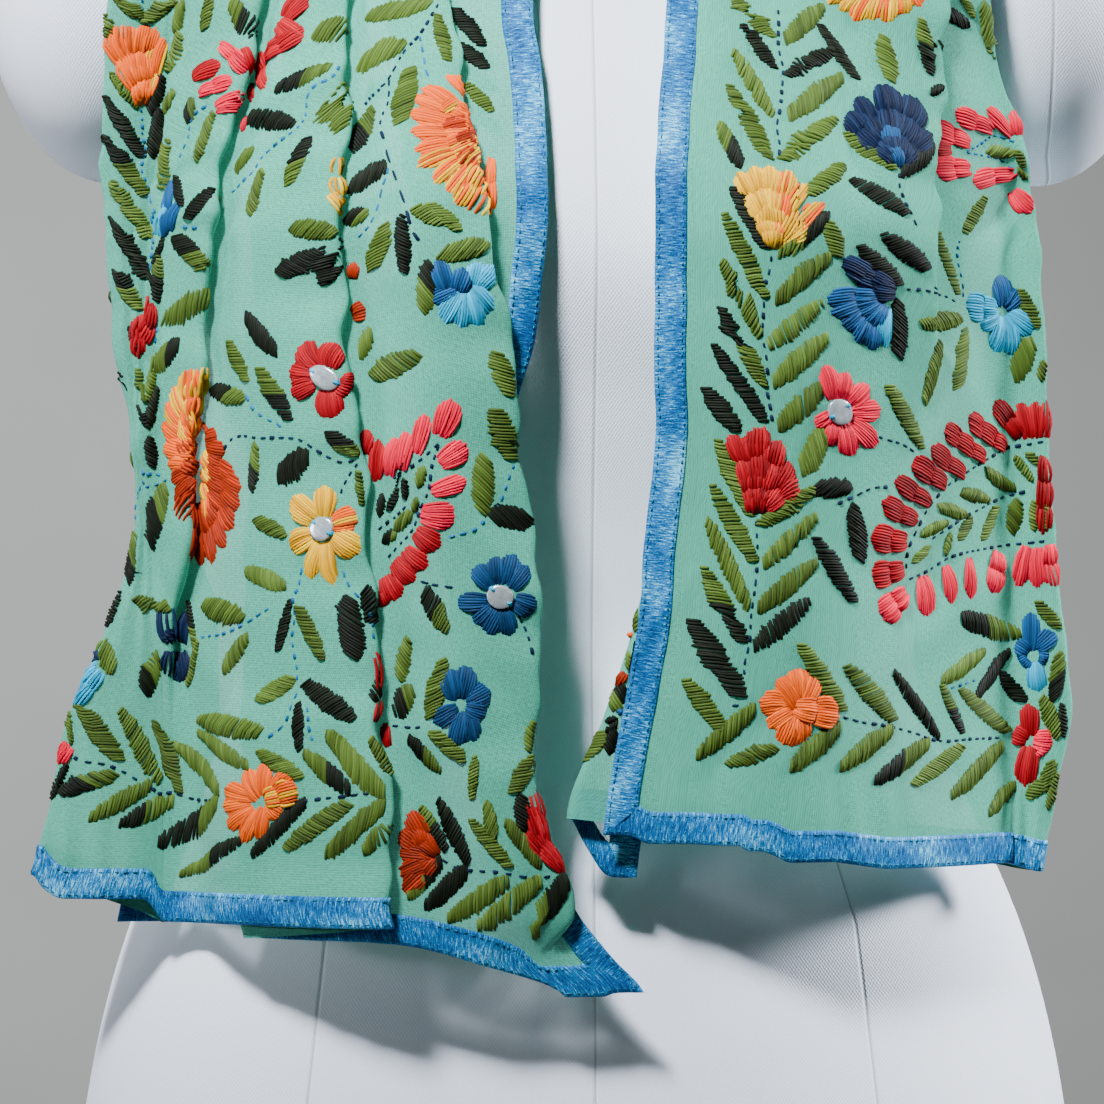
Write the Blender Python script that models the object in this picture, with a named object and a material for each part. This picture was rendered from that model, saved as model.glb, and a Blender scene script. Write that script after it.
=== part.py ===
"""Phulkari shawl hung round the neck of a limbless counter-top dress form.

The shawl is one straight length of cloth, folded lengthwise: knife pleats and a tucked far edge on
the left fall, a flat three-layer fold behind the neck and on the right fall.  Each stretch is swept
from a table of fold positions over the surface that the cloth rests on.  Ribbon bindings are made
from the cloth's own points moved out along its normals.  Sizes below are millimetres.
"""
import bpy
import bmesh
import numpy as np

# ---- driving sizes (mm) -------------------------------------------------------------------------
WALL = 1.0                # cloth thickness
RIBBON_WIDTH = 11.0
RIBBON_WALL = 1.0
SEAM_GAP = 0.3            # clear distance between neighbouring sewn pieces
WRONG_GAP = 2.0           # layer spacing where two wrong sides face each other
RIGHT_GAP = 2.6           # layer spacing where two right sides face each other
BOUND_GAP = 4.8           # the same where a ribbon lies on each right side
FOLD_GAP = 3.0            # layer spacing at the outer fold
LOWEST = 1.2              # level of the lowest layer above the surface that carries it
BAND_CLEARANCE = 3.0      # added where the folded band bends round the neck
BUST_HEIGHT = 435.0       # height where the falls leave the form and hang free
DROP_PER_DEGREE = 2.4     # height lost per degree of sweep below the bust
NECK_RADIUS = 57.0
NECK_BACK = 8.0           # neck axis behind the form's middle
NECK_TOP = 704.0
STUB_CENTRE = (166.0, -2.0, 534.0)
STUB_HALF = (46.0, 54.0, 73.0)
FORM_COLUMNS = 44

# height, half width, depth in front, depth behind
FORM_SECTIONS = np.array([
    (0, 170, 98, 112), (30, 176, 103, 118), (70, 180, 107, 120), (130, 176, 108, 112),
    (193, 161, 104, 97), (240, 141, 97, 84), (285, 122, 88, 75), (330, 127, 93, 82),
    (380, 142, 104, 92), (435, 152, 114, 98), (480, 157, 106, 98), (520, 163, 92, 93),
    (555, 172, 79, 86), (585, 176, 66, 76), (600, 160, 58, 66), (612, 135, 52, 58),
    (624, 108, 46, 50), (636, 78, 38, 42), (646, 48, 28, 32), (652, 20, 14, 16),
    (654, 2, 2, 2)], float)
FORM_ROWS = np.array([
    0, 4, 40, 90, 140, 188, 228, 258, 288, 318, 350, 380, 405, 430, 450, 461.1, 462.2, 465, 471,
    484, 506, 534, 560, 577, 589, 598, 605, 611, 618, 626, 636, 648, 662, 690, 699, 703.4], float)

# One row per station along the shawl, from the left hem over the neck to the right hem.
# sweep: -198 left hem, -90 left bust, 0 left shoulder, 90 nape, 180 right shoulder, 378 right hem
# near, outline: outward distance of the inner selvage and of the outer fold
# p3 p2 p1: edge of each pleat that points to the neck, u3 u2 u1 its hidden depth, k3 k2 k1 how far
# it is closed; r its mirror twin on the outer side; tail: where the tucked layer turns or ends;
# turn: length of the third layer; tuck: level of the second layer
COLUMNS = "sweep near p3 u3 k3 p2 u2 k2 p1 u1 k1 r ur kr outline tail turn tuck".split()
STATIONS = np.array([
    (-198, -17, 8.0, 5, .0, 66.3, 46, 1, 140.0, 3, .0, 168, 3, 0, 191.8, 147, 19, 6.2),
    (-192, -5, 17.0, 5, .1, 66.3, 46, 1, 140.0, 3, .0, 168, 3, 0, 191.8, 147, 19, 6.2),
    (-186, 7.8, 10.0, 15, .8, 66.7, 47, 1, 140.0, 3, .0, 168, 3, 0, 191.6, 145, 19, 6.2),
    (-172, 23.2, 20.8, 19, 1, 68.0, 46, 1, 139.3, 3, .0, 166, 3, 0, 185.8, 135, 19, 6.2),
    (-158, 26.6, 23.6, 25, 1, 71.9, 43, 1, 138.2, 3, .2, 162, 3, 0, 179.1, 128, 19, 5.0),
    (-144, 26.5, 22.0, 30, 1, 72.3, 42, 1, 135.4, 9, 1, 154, 3, 0, 167.8, 128, 15, 5.0),
    (-130, 29.0, 24.8, 32, 1, 74.2, 38, 1, 129.7, 22, 1, 149, 3, 0, 160.0, 138, 15, 5.0),
    (-116, 30.4, 28.4, 33, 1, 78.4, 36, 1, 127.8, 27, 1, 150, 3, 0, 160.8, 141, 15, 5.0),
    (-103, 22.3, 33.2, 28, 1, 80.5, 32, 1, 124.4, 26, 1, 152, 3, 0, 166.8, 146, 15, 5.0),
    (-90, 19.0, 38.4, 24, 1, 81.7, 29, 1, 122.9, 26, 1, 152, 3, 0, 168.6, 142, 15, 5.0),
    (-80, 18.0, 40.8, 24, 1, 82.0, 28, 1, 121.3, 26, 1, 152, 3, 0, 169.1, 138, 15, 5.0),
    (-70, 18.0, 43.1, 23, 1, 81.3, 27, 1, 118.5, 26, 1, 152, 3, 0, 169.6, 134, 15, 5.0),
    (-60, 19.2, 46.4, 22, 1, 80.9, 24, 1, 114.6, 25, 1, 152, 3, 0, 170.0, 130, 15, 5.0),
    (-50, 20.7, 48.8, 22, 1, 80.8, 21, 1, 110.2, 24, 1, 151, 3, 0, 170.2, 124, 15, 5.4),
    (-42, 21.0, 49.5, 21, 1, 80.8, 20, 1, 109.0, 23, 1, 150, 3, 0, 169.5, 116, 22, 6.0),
    (-28, 28.0, 54.0, 19, 1, 82.0, 18, 1, 108.5, 23, 1, 149, 3, 0, 167.0, 92, 38, 7.0),
    (-14, 48.0, 66.0, 12, .5, 88.0, 13, .5, 111.0, 24, 1, 148, 3, 0, 165.0, 64, 66, 7.0),
    (0, 70.0, 88.0, 4, .0, 103.0, 4, .0, 120.0, 24, 1, 150, 3, 0, 163.0, 72, 88, 7.0),
    (30, 72.0, 90.0, 3, .0, 106.0, 3, .0, 122.0, 20, 1, 154, 6, .3, 170.0, 74, 70, 7.0),
    (60, 75.0, 93.0, 3, .0, 108.0, 3, .0, 124.0, 17, 1, 156, 13, .9, 172.0, 77, 84, 7.0),
    (90, 78.0, 93.0, 3, .0, 109.0, 3, .0, 120.0, 20, 1, 160, 25, 1, 174.0, 80, 88, 7.0),
    (120, 75.0, 90.0, 3, .0, 103.0, 3, .0, 114.0, 14, 1, 154, 20, 1, 168.0, 77, 74, 7.0),
    (150, 72.0, 86.0, 3, .0, 97.0, 3, .0, 108.0, 8, .7, 146, 22, 1, 158.0, 75, 62, 7.0),
    (180, 72.0, 82.0, 3, .0, 92.0, 3, .0, 102.0, 5, .2, 137, 27, 1, 148.0, 75, 68, 7.0),
    (194, 50.0, 64.0, 3, .0, 75.0, 3, .0, 87.0, 4, .0, 129, 25, 1, 140.0, 55, 78, 7.0),
    (208, 32.0, 50.0, 3, .0, 66.0, 3, .0, 80.0, 3, .0, 122, 21, 1, 136.5, 38, 90, 7.0),
    (222, 24.9, 44.0, 3, .0, 62.0, 3, .0, 80.0, 3, .0, 117.3, 16, 1, 143.0, 33, 88, 7.0),
    (230, 24.4, 43.0, 3, .0, 61.0, 3, .0, 79.0, 3, .0, 114.6, 15, 1, 152.8, 33, 80, 7.0),
    (240, 23.1, 42.0, 3, .0, 60.0, 3, .0, 78.0, 3, .0, 114.1, 14, 1, 156.5, 31, 72, 7.0),
    (250, 20.6, 40.0, 3, .0, 58.0, 3, .0, 76.0, 3, .0, 112.1, 13, 1, 158.2, 29, 68, 7.0),
    (260, 20.1, 39.0, 3, .0, 57.0, 3, .0, 75.0, 3, .0, 109.5, 12, 1, 159.9, 28, 65, 7.0),
    (270, 20.1, 39.0, 3, .0, 57.0, 3, .0, 75.0, 3, .0, 108.3, 10, 1, 161.9, 27, 64, 7.0),
    (283, 20.2, 39.0, 3, .0, 57.0, 3, .0, 75.0, 3, .0, 108.0, 7, .7, 162.2, 26, 64, 7.0),
    (296, 20.2, 39.0, 3, .0, 57.0, 3, .0, 75.0, 3, .0, 108.7, 4, .1, 163.7, 25, 64, 7.0),
    (310, 17.1, 37.0, 3, .0, 56.0, 3, .0, 75.0, 3, .0, 109.0, 3, .0, 165.3, 20, 57, 7.0),
    (324, 14.4, 35.0, 3, .0, 55.0, 3, .0, 75.0, 3, .0, 110.0, 3, .0, 168.1, 12.8, 48, 7.0),
    (338, 8.5, 31.0, 3, .0, 53.0, 3, .0, 75.0, 3, .0, 110.0, 3, .0, 169.8, 1.4, 36, 7.0),
    (352, 1.9, 27.0, 3, .0, 50.0, 3, .0, 73.0, 3, .0, 108.0, 3, .0, 165.3, -11.5, 28, 7.0),
    (366, .2, 26.0, 3, .0, 49.0, 3, .0, 72.0, 3, .0, 107.0, 3, .0, 159.7, -13, 26, 7.0),
    (378, .2, 26.0, 3, .0, 49.0, 3, .0, 72.0, 3, .0, 107.0, 3, .0, 159.0, -13, 26, 7.0),
], float)

# Height of each hem along the cloth's width, from the inner selvage to the far one.
HEM_POINTS = "near p3 p2_hidden p2 p1 outline tail far".split()
HEM_LEFT = (178.0, 176.5, 195.6, 200.5, 199.7, 215.8, 199.5, 199.5)
HEM_RIGHT = (232.0, 229.0, 228.5, 226.5, 222.5, 216.5, 237.5, 217.0)

# Soft waves common to all layers: sweep from, sweep to, distance out at both ends, width, height
WAVES = ((-198, -130, 128, 134, 12, -3.5), (-198, -120, 160, 148, 18, 2.0),
         (-198, -150, 40, 46, 16, 2.0), (-198, -150, 92, 96, 18, -1.5),
         (296, 378, 48, 44, 20, 2.5), (300, 378, 84, 92, 18, -2.0),
         (310, 378, 128, 120, 20, 2.0), (222, 300, 66, 70, 22, 1.5))


# ---- the form -----------------------------------------------------------------------------------
def cubic_rows(table, z):
    """Smooth read of each sized column of a table at heights z."""
    t = table[:, 0]
    i = np.clip(np.searchsorted(t, z, side="right") - 1, 0, len(t) - 2)
    h = t[i + 1] - t[i]
    u = (z - t[i]) / h
    out = []
    for k in range(1, table.shape[1]):
        v = table[:, k]
        m = np.gradient(v, t)
        out.append((2 * u**3 - 3 * u**2 + 1) * v[i] + (u**3 - 2 * u**2 + u) * h * m[i]
                   + (3 * u**2 - 2 * u**3) * v[i + 1] + (u**3 - u**2) * h * m[i + 1])
    return out


def torso_radius(angle, z):
    """Radius of the padded torso: a squared ellipse per height with two soft bust cups."""
    half, front, back = cubic_rows(FORM_SECTIONS, np.clip(z, 0, 653.9))
    c, s = np.cos(angle), np.sin(angle)
    depth = np.where(s < 0, front, back)
    r = (np.abs(c / half)**2.25 + np.abs(s / np.maximum(depth, 1))**2.25)**(-1 / 2.25)
    for side in (-1, 1):
        x = r * c
        r = r + 17 * np.exp(-((x - side * 72) / 42)**2 - ((z - 430) / 46)**2) * np.clip(-s, 0, 1)
    return np.where(z > 653.5, 0, r)


def stub_radius(angle, z):
    """Outer radius of the two rounded arm stubs."""
    cx, cy, cz = STUB_CENTRE
    ring = np.sqrt(np.clip(1 - ((z - cz) / STUB_HALF[2])**2, 0, None)) + 1e-9
    out = np.zeros(np.broadcast(angle, z).shape)
    for side in (-1, 1):
        ax, ay = STUB_HALF[0] * ring, STUB_HALF[1] * ring
        dx, dy, ox, oy = np.cos(angle), np.sin(angle), -side * cx, -cy
        qa = (dx / ax)**2 + (dy / ay)**2
        qb = 2 * (ox * dx / ax**2 + oy * dy / ay**2)
        qc = (ox / ax)**2 + (oy / ay)**2 - 1
        disc = qb * qb - 4 * qa * qc
        root = (-qb + np.sqrt(np.maximum(disc, 0))) / (2 * qa)
        out = np.maximum(out, np.where((disc > 0) & (ring > 1e-6) & (root > 0), root, 0))
    return out


def neck_radius(angle, z):
    """Radius of the short neck and its plain domed cap, seen from the form's middle."""
    top = np.clip((z - (NECK_TOP - 14)) / 14, 0, 1)
    r = NECK_RADIUS * np.sqrt(np.clip(1 - top**2, 0, 1))
    s, c = np.sin(angle), np.cos(angle)
    inside = np.maximum(r**2 - (NECK_BACK * c)**2, 0)
    return np.where(z > 560, np.maximum(NECK_BACK * s + np.sqrt(inside), 0.5), 0)


def form_radius(angle, z, neck):
    """Outer radius of torso, stubs and, where asked, neck, blended softly."""
    body = (torso_radius(angle, z)**14 + stub_radius(angle, z)**14)**(1 / 14)
    return (body**7 + neck_radius(angle, z)**7)**(1 / 7) if neck else body


# ---- the surface that the cloth rests on ----------------------------------------------------------
BED_X = np.linspace(-215, 215, 87)
BED_ANGLE = np.radians(np.linspace(-90, 90, 73))


def soften(field, times):
    """Average a table with its neighbours, the given number of times."""
    for _ in range(times):
        q = np.pad(field, 1, mode="edge")
        field = (q[1:-1, 1:-1] * 2 + q[:-2, 1:-1] + q[2:, 1:-1]) / 4
        q = np.pad(field, 1, mode="edge")
        field = (q[1:-1, 1:-1] * 2 + q[1:-1, :-2] + q[1:-1, 2:]) / 4
    return field


def make_bed():
    """Reach of the draped surface from the bust-height axis, per distance across and sweep angle.

    Cloth never follows a surface back in again, so the reach forwards and backwards only grows on
    the way down.
    """
    rho = np.arange(0, 262, 1.0)
    x, p, r = np.meshgrid(BED_X, BED_ANGLE, rho, indexing="ij")
    y, z = r * np.sin(p), BUST_HEIGHT + r * np.cos(p)
    edge = np.where(z < 654, form_radius(np.arctan2(y, x), np.minimum(z, 654), False), 0)
    radius = np.where(np.hypot(x, y) <= edge, r, 0).max(2)
    mid = len(BED_ANGLE) // 2
    reach = radius * np.abs(np.sin(BED_ANGLE))
    front = np.maximum.accumulate(reach[:, :mid + 1][:, ::-1], 1)[:, ::-1]
    back = np.maximum.accumulate(reach[:, mid:], 1)
    reach = np.concatenate([front[:, :-1], back], 1)
    s = np.abs(np.sin(BED_ANGLE))
    raw = np.maximum(np.where(s > 0.05, reach / np.maximum(s, 1e-6), radius), radius) + 0.5
    soft = soften(raw, 6)
    short = np.maximum(raw - soft, 0)
    q = np.pad(short, 1, mode="edge")
    for dx in (0, 1, 2):
        for dq in (0, 1, 2):
            short = np.maximum(short, q[dx:dx + short.shape[0], dq:dq + short.shape[1]])
    return soft + soften(short, 3)


BED = make_bed()


def bed_point(x, q):
    """Point of the draped surface at distance x across and q degrees of sweep."""
    xi = np.clip((x - BED_X[0]) / (BED_X[1] - BED_X[0]), 0, len(BED_X) - 1.001)
    turn = np.radians(np.clip(q, -90, 90))
    qi = np.clip((turn - BED_ANGLE[0]) / (BED_ANGLE[1] - BED_ANGLE[0]), 0, len(BED_ANGLE) - 1.001)
    i, j = xi.astype(int), qi.astype(int)
    a, b = xi - i, qi - j
    r = (BED[i, j] * (1 - a) * (1 - b) + BED[i + 1, j] * a * (1 - b)
         + BED[i, j + 1] * (1 - a) * b + BED[i + 1, j + 1] * a * b)
    drop = np.maximum(-90 - q, 0) * DROP_PER_DEGREE
    return np.stack([x, r * np.sin(turn), BUST_HEIGHT + r * np.cos(turn) - drop], -1)


def bed_normal(x, q):
    """Outward direction of the draped surface, averaged over a few millimetres."""
    a = bed_point(x + 6, q) - bed_point(x - 6, q)
    b = bed_point(x, q + 2) - bed_point(x, q - 2)
    n = np.cross(b, a)
    return -n / np.linalg.norm(n, axis=-1, keepdims=True)


# ---- the shawl's cross-sections -------------------------------------------------------------------
def station(sweep):
    """Every column of the station table, read smoothly at the given sweep values."""
    t = STATIONS[:, 0]
    h = np.diff(t)
    i = np.clip(np.searchsorted(t, sweep, side="right") - 1, 0, len(t) - 2)
    u = (sweep - t[i]) / h[i]
    out = {"sweep": sweep}
    for k, name in enumerate(COLUMNS[1:], 1):
        v = STATIONS[:, k]
        d = np.diff(v) / h
        m = np.zeros(len(t))
        same = d[:-1] * d[1:] > 0
        w1, w2 = 2 * h[1:] + h[:-1], h[1:] + 2 * h[:-1]
        safe0, safe1 = np.where(same, d[:-1], 1), np.where(same, d[1:], 1)
        m[1:-1] = np.where(same, (w1 + w2) / (w1 / safe0 + w2 / safe1), 0)
        out[name] = ((2 * u**3 - 3 * u**2 + 1) * v[i] + (u**3 - 2 * u**2 + u) * h[i] * m[i]
                     + (3 * u**2 - 2 * u**3) * v[i + 1] + (u**3 - u**2) * h[i] * m[i + 1])
    return out


def lerp(a, b, f):
    return a + (b - a) * f


def section_controls(sweep):
    """Control polygon of each section as (distance out, level), and the hem height of each control.

    A fold is five controls round a half circle; a straight part has a few controls between.
    """
    st = station(sweep)
    out, level, hem_at = [], [], []
    tuck = st["tuck"]
    base = tuck + FOLD_GAP
    near_hem = np.clip((np.abs(sweep - 90) - 244) / 12, 0, 1)
    gap2 = lerp(RIGHT_GAP, BOUND_GAP, near_hem)
    gap3 = np.where(sweep < 0, np.interp(sweep, (-90, -70), (BOUND_GAP, RIGHT_GAP)), gap2)

    def put(w, d, h):
        out.append(w + 0 * sweep)
        level.append(d + 0 * sweep)
        hem_at.append(h)

    def line(w0, d0, w1, d1, h0, h1, count):
        for k in range(1, count + 1):
            f = k / (count + 1)
            put(lerp(w0, w1, f), lerp(d0, d1, f), lerp(h0, h1, f))

    def turn(tip, d0, d1, way, flat_w, flat_d, closed, h, step=1.1):
        r = np.abs(d1 - d0) / 2
        for k in range(5):
            a = np.radians(-90 + 45 * k)
            w = tip - way * r * (1 - np.cos(a))
            d = (d0 + d1) / 2 + (d1 - d0) / 2 * np.sin(a) * 1.06
            put(lerp(flat_w + (k - 2) * step, w, closed), lerp(flat_d, d, closed), h)

    for k in (0, 0.5, 1):
        put(st["near"] + RIBBON_WIDTH * k, base, 0.0)
    last_w, last_d, last_h = st["near"] + RIBBON_WIDTH, base, 0.0
    pleats = (("p3", "u3", "k3", gap3, 1.0, 1.0, 1), ("p2", "u2", "k2", gap2, 2.0, 3.0, 3),
              ("p1", "u1", "k1", gap2, 4.0, 4.0, 3))
    for edge, under, closed, gap, h_under, h_edge, count in pleats:
        w, k = st[edge], st[closed]
        hidden = w + st[under]
        d1, d2 = base + gap, base + gap + WRONG_GAP
        if count > 2:
            put(last_w, last_d, lerp(last_h, h_under, 0.3))
        first = np.maximum(lerp(w - 9, w - 2, k), st["near"] + RIBBON_WIDTH + 1)
        line(last_w, last_d, first, base, lerp(last_h, h_under, 0.3), h_under, 1)
        put(first, base, h_under)
        put(np.maximum(lerp(w - 7, (w + hidden) / 2, k), first + 1), base, h_under)
        turn(hidden, base, d1, 1, w - 3.5, base, k, h_under)
        line(hidden - gap / 2, d1, w + 1, d1, h_under, h_edge, 1)
        out[-1] = lerp(w, out[-1], k)
        level[-1] = lerp(base, level[-1], k)
        turn(w, d1, d2, -1, w + 3.5, base, k, h_edge)
        last_w, last_d, last_h = lerp(w + 9, hidden + 3, k), lerp(base, d2, k), h_edge
    w, k = st["r"], st["kr"]
    hidden = w - st["ur"]
    d1, d2 = base + gap2, base + gap2 + WRONG_GAP
    middle, pitch = (last_w + st["outline"]) / 2, (st["outline"] - 1 - last_w) / 18
    put(last_w, last_d, 4.1)
    line(last_w, last_d, lerp(middle - 6 * pitch, hidden - 3, k), lerp(base, d2, k), 4.1, 4.5, 2)
    put(lerp(middle - 6 * pitch, hidden - 3, k), lerp(base, d2, k), 4.5)
    turn(w, d2, d1, 1, middle - 3 * pitch, base, k, 4.5, pitch)
    put(lerp(middle, (w + hidden) / 2, k), lerp(base, d1, k), 4.5)
    turn(hidden, d1, base, -1, middle + 3 * pitch, base, k, 4.5, pitch)
    line(lerp(middle + 6 * pitch, hidden + 2, k), base, st["outline"] - 1, base, 4.5, 5.0, 2)
    turn(st["outline"], base, tuck, 1, 0, 0, 1, 5.0)
    tail = st["tail"]
    line(st["outline"] - 1, tuck, tail + (tuck - LOWEST) / 2, tuck, 5.0, 6.0, 7)
    turn(tail, tuck, LOWEST, -1, tail, tuck, 1, 6.0)
    far = tail + st["turn"]
    line(tail + 1, LOWEST, far - RIBBON_WIDTH, LOWEST, 6.0, 7.0, 2)
    for f in (1, 0.5, 0):
        put(far - RIBBON_WIDTH * f, LOWEST, 7.0)
    clear = BAND_CLEARANCE * np.clip((115 - np.abs(sweep - 90)) / 15 + 0.9, 0, 1)
    return np.stack(out, -1), np.stack(level, -1) + clear[:, None], np.array(hem_at)


def spline_weights(u, count):
    """Cubic B-spline weights of each control for section positions u, passing the end controls."""
    full = np.zeros((len(u), count + 2))
    i = np.clip(np.floor(u).astype(int), 0, count - 2)
    f = u - i
    rows = np.arange(len(u))
    full[rows, i] += (1 - f)**3 / 6
    full[rows, i + 1] += (3 * f**3 - 6 * f**2 + 4) / 6
    full[rows, i + 2] += (-3 * f**3 + 3 * f**2 + 3 * f + 1) / 6
    full[rows, i + 3] += f**3 / 6
    out = full[:, 1:-1].copy()
    out[:, 0] += 2 * full[:, 0]
    out[:, 1] -= full[:, 0]
    out[:, -1] += 2 * full[:, -1]
    out[:, -2] -= full[:, -1]
    return out


def wave_height(w, sweep):
    """Sum of the soft waves, each a ridge running along the cloth."""
    total = np.zeros(np.broadcast(w, sweep).shape)
    for start, stop, w0, w1, width, height in WAVES:
        f = np.clip((sweep - start) / (stop - start), 0, 1)
        hem_side = (1 - f) if start < 0 else f
        rise = np.sin(np.pi * np.clip(f, 0, 1)) if abs(start - 236) < 20 else hem_side
        centre = lerp(w0, w1, f)
        gate = (sweep >= start) & (sweep <= stop)
        total += gate * height * rise * np.exp(-((w - centre) / width)**2)
    return total


def place(w, level, sweep):
    """Put section points (distance out, level) at their sweep onto the draped surface."""
    st = station(sweep)
    inner, outer = st["near"], st["outline"]
    f = (w - inner) / (outer - inner)
    turn = np.radians(np.clip(sweep, 0, 180))
    side = np.where(sweep < 90, -1.0, 1.0)
    q_fall = np.where(sweep < 90, np.minimum(sweep, 0), np.minimum(180 - sweep, 0))
    x_in, x_out = -inner * np.cos(turn), -outer * np.cos(turn)
    q_in = np.degrees(np.arcsin(np.clip((inner + NECK_BACK) * np.sin(turn) / 200.0, -1, 1)))
    q_out = 52.0 * np.sin(turn)
    fall = (sweep <= 0) | (sweep >= 180)
    x = np.where(fall, side * w, lerp(x_in, x_out, f))
    q = np.where(fall, q_fall, lerp(q_in, q_out, f))
    return bed_point(x, q) + (level + wave_height(w, sweep))[..., None] * bed_normal(x, q)


def cloth_grid(u, sweeps):
    """Middle surface of the cloth: one row per sweep row (each may vary across u), one column per u."""
    probe = np.arange(-204.0, 384.5, 1.0)
    out, level, _ = section_controls(probe)
    weights = spline_weights(u, out.shape[1])
    out, level = out @ weights.T, level @ weights.T
    pos = np.clip(sweeps - probe[0], 0, len(probe) - 1.001)
    i = pos.astype(int)
    f = pos - i
    col = np.arange(len(u))[None, :]
    w = lerp(out[i, col], out[i + 1, col], f)
    d = lerp(level[i, col], level[i + 1, col], f)
    return place(w, d, sweeps)


CONTROL_COUNT = section_controls(np.array([0.0]))[0].shape[1]
CONTROL_HEM = section_controls(np.array([0.0]))[2]


def hem_sweep(u, heights, right):
    """Sweep value at which each column of the cloth ends."""
    at = spline_weights(u, CONTROL_COUNT) @ CONTROL_HEM
    z = np.interp(at, range(8), heights)
    drop = 90 + (BUST_HEIGHT - z) / DROP_PER_DEGREE
    return 180 + drop if right else -drop


FALL_ROWS = np.array([-178, -162, -146, -130, -113, -97, -83, -70, -58, -47, -37, -28, -20, -13,
                      -7, -3, 0], float)
NECK_ROWS = np.array([0.1, 5, 11, 21, 36, 54, 72, 90, 108, 126, 144, 159, 169, 175, 179.9])
TURN_COLUMNS = np.array([0.5, 1.5, 2.5, 3.5])


def section_columns(sweep_range):
    """Column positions: every control that matters there, leaving out those of pleats laid flat."""
    st = station(np.linspace(*sweep_range, 60))
    keep, k = [0, 1, 2], 3
    for name, lead in (("k3", 2), ("k2", 4), ("k1", 4), ("kr", 4)):
        keep += range(k, k + lead)
        k += lead
        if st[name].max() > 0.25:
            keep += list(k + TURN_COLUMNS) + [k + 5] + list(k + 6 + TURN_COLUMNS)
        else:
            keep += [k + 2, k + 8]
        k += 11
    keep += [k, k + 1] + list(k + 2 + TURN_COLUMNS) + list(range(k + 7, k + 14))
    k += 14
    keep += list(k + TURN_COLUMNS) + [k + 5, k + 6, k + 7, k + 8, k + 9]
    return np.array(keep, float)


# ---- solids ---------------------------------------------------------------------------------------
def new_object(name, verts, faces, colour, solid=True, rough=0.8):
    """Mesh object in metres with its own Principled material."""
    mesh = bpy.data.meshes.new(name)
    mesh.from_pydata([tuple(v) for v in np.asarray(verts, float) * 0.001], [], faces)
    mesh.validate()
    obj = bpy.data.objects.new(name, mesh)
    bpy.context.scene.collection.objects.link(obj)
    mat = bpy.data.materials.new(name)
    mat.use_nodes = True
    shader = mat.node_tree.nodes["Principled BSDF"]
    shader.inputs["Base Color"].default_value = (*colour, 1)
    shader.inputs["Roughness"].default_value = rough
    mesh.materials.append(mat)
    if solid:
        bm = bmesh.new()
        bm.from_mesh(mesh)
        bmesh.ops.recalc_face_normals(bm, faces=bm.faces)
        bm.to_mesh(mesh)
        bm.free()
    mesh.shade_smooth()
    mesh.set_sharp_from_angle(angle=np.radians(50))
    return obj


def grid_faces(rows, cols, wrap=False):
    last = cols if wrap else cols - 1
    return [(r * cols + c, r * cols + (c + 1) % cols, (r + 1) * cols + (c + 1) % cols,
             (r + 1) * cols + c) for r in range(rows - 1) for c in range(last)]


def cloth_solid(name, grid, wall, colour, lift=0.0):
    """Thickened cloth: a wall on the middle surface, or moved out from it by lift, rims closed."""
    rows, cols = grid.shape[:2]
    faces = [tuple(reversed(f)) for f in grid_faces(rows, cols)]
    obj = new_object(name, grid.reshape(-1, 3), faces, colour, solid=False)
    mod = obj.modifiers.new("wall", "SOLIDIFY")
    mod.thickness = wall * 0.001
    mod.offset = 2 * lift / wall
    mod.use_rim = True
    return obj


def make_form():
    """Torso, stubs and neck as one smooth closed solid on a flat underside."""
    even = np.linspace(0, 2 * np.pi, FORM_COLUMNS, endpoint=False)
    angle = even - 0.24 * np.sin(2 * even)
    a, z = np.meshgrid(angle, FORM_ROWS)
    r = form_radius(a, z, True)
    r[0] -= 3.0
    rows = len(FORM_ROWS)
    verts = np.stack([r * np.cos(a), r * np.sin(a), z], -1).reshape(-1, 3)
    faces = grid_faces(rows, FORM_COLUMNS, wrap=True)
    top = len(verts)
    cap = verts[-FORM_COLUMNS:].mean(0) + (0, 0, 0.2)
    verts = np.vstack([verts, cap])
    base = (rows - 1) * FORM_COLUMNS
    faces += [(base + c, base + (c + 1) % FORM_COLUMNS, top) for c in range(FORM_COLUMNS)]
    faces.append(tuple(reversed(range(FORM_COLUMNS))))
    return new_object("dress_form", verts, faces, (0.82, 0.83, 0.86))


def fall_rows(u, heights, right):
    """Sweep of each grid row: hem, the ribbon's inner edge, then even rows up to the shoulder."""
    hem = hem_sweep(u, heights, right)
    sign = -1 if right else 1
    top = 180.0 + 0.06 if right else -0.06
    first = hem + sign * RIBBON_WIDTH / DROP_PER_DEGREE
    body = lerp(first[None, :], top, (FALL_ROWS[:, None] - FALL_ROWS[0]) / -FALL_ROWS[0])
    return np.vstack([hem[None, :], body])


def ribbons(key, grid, colour):
    """Bindings of one stretch: both selvages, and the hem where the stretch has one."""
    lift = WALL / 2 + SEAM_GAP + RIBBON_WALL / 2
    cloth_solid(f"binding_inner_{key}", grid[:, :3], RIBBON_WALL, colour, lift)
    cloth_solid(f"binding_outer_{key}", grid[:, -3:], RIBBON_WALL, colour, lift)
    if key == "neck":
        return
    strip = (grid[:2] if key == "left" else grid[-2:])[:, 2:-2].copy()
    for end, inside in ((0, 1), (-1, -2)):
        step = np.linalg.norm(strip[:, inside] - strip[:, end], axis=1)
        strip[:, end] = lerp(strip[:, end], strip[:, inside], (SEAM_GAP + 0.4) / step[:, None])
    cloth_solid(f"binding_hem_{key}", strip, RIBBON_WALL, colour, lift)


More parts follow.
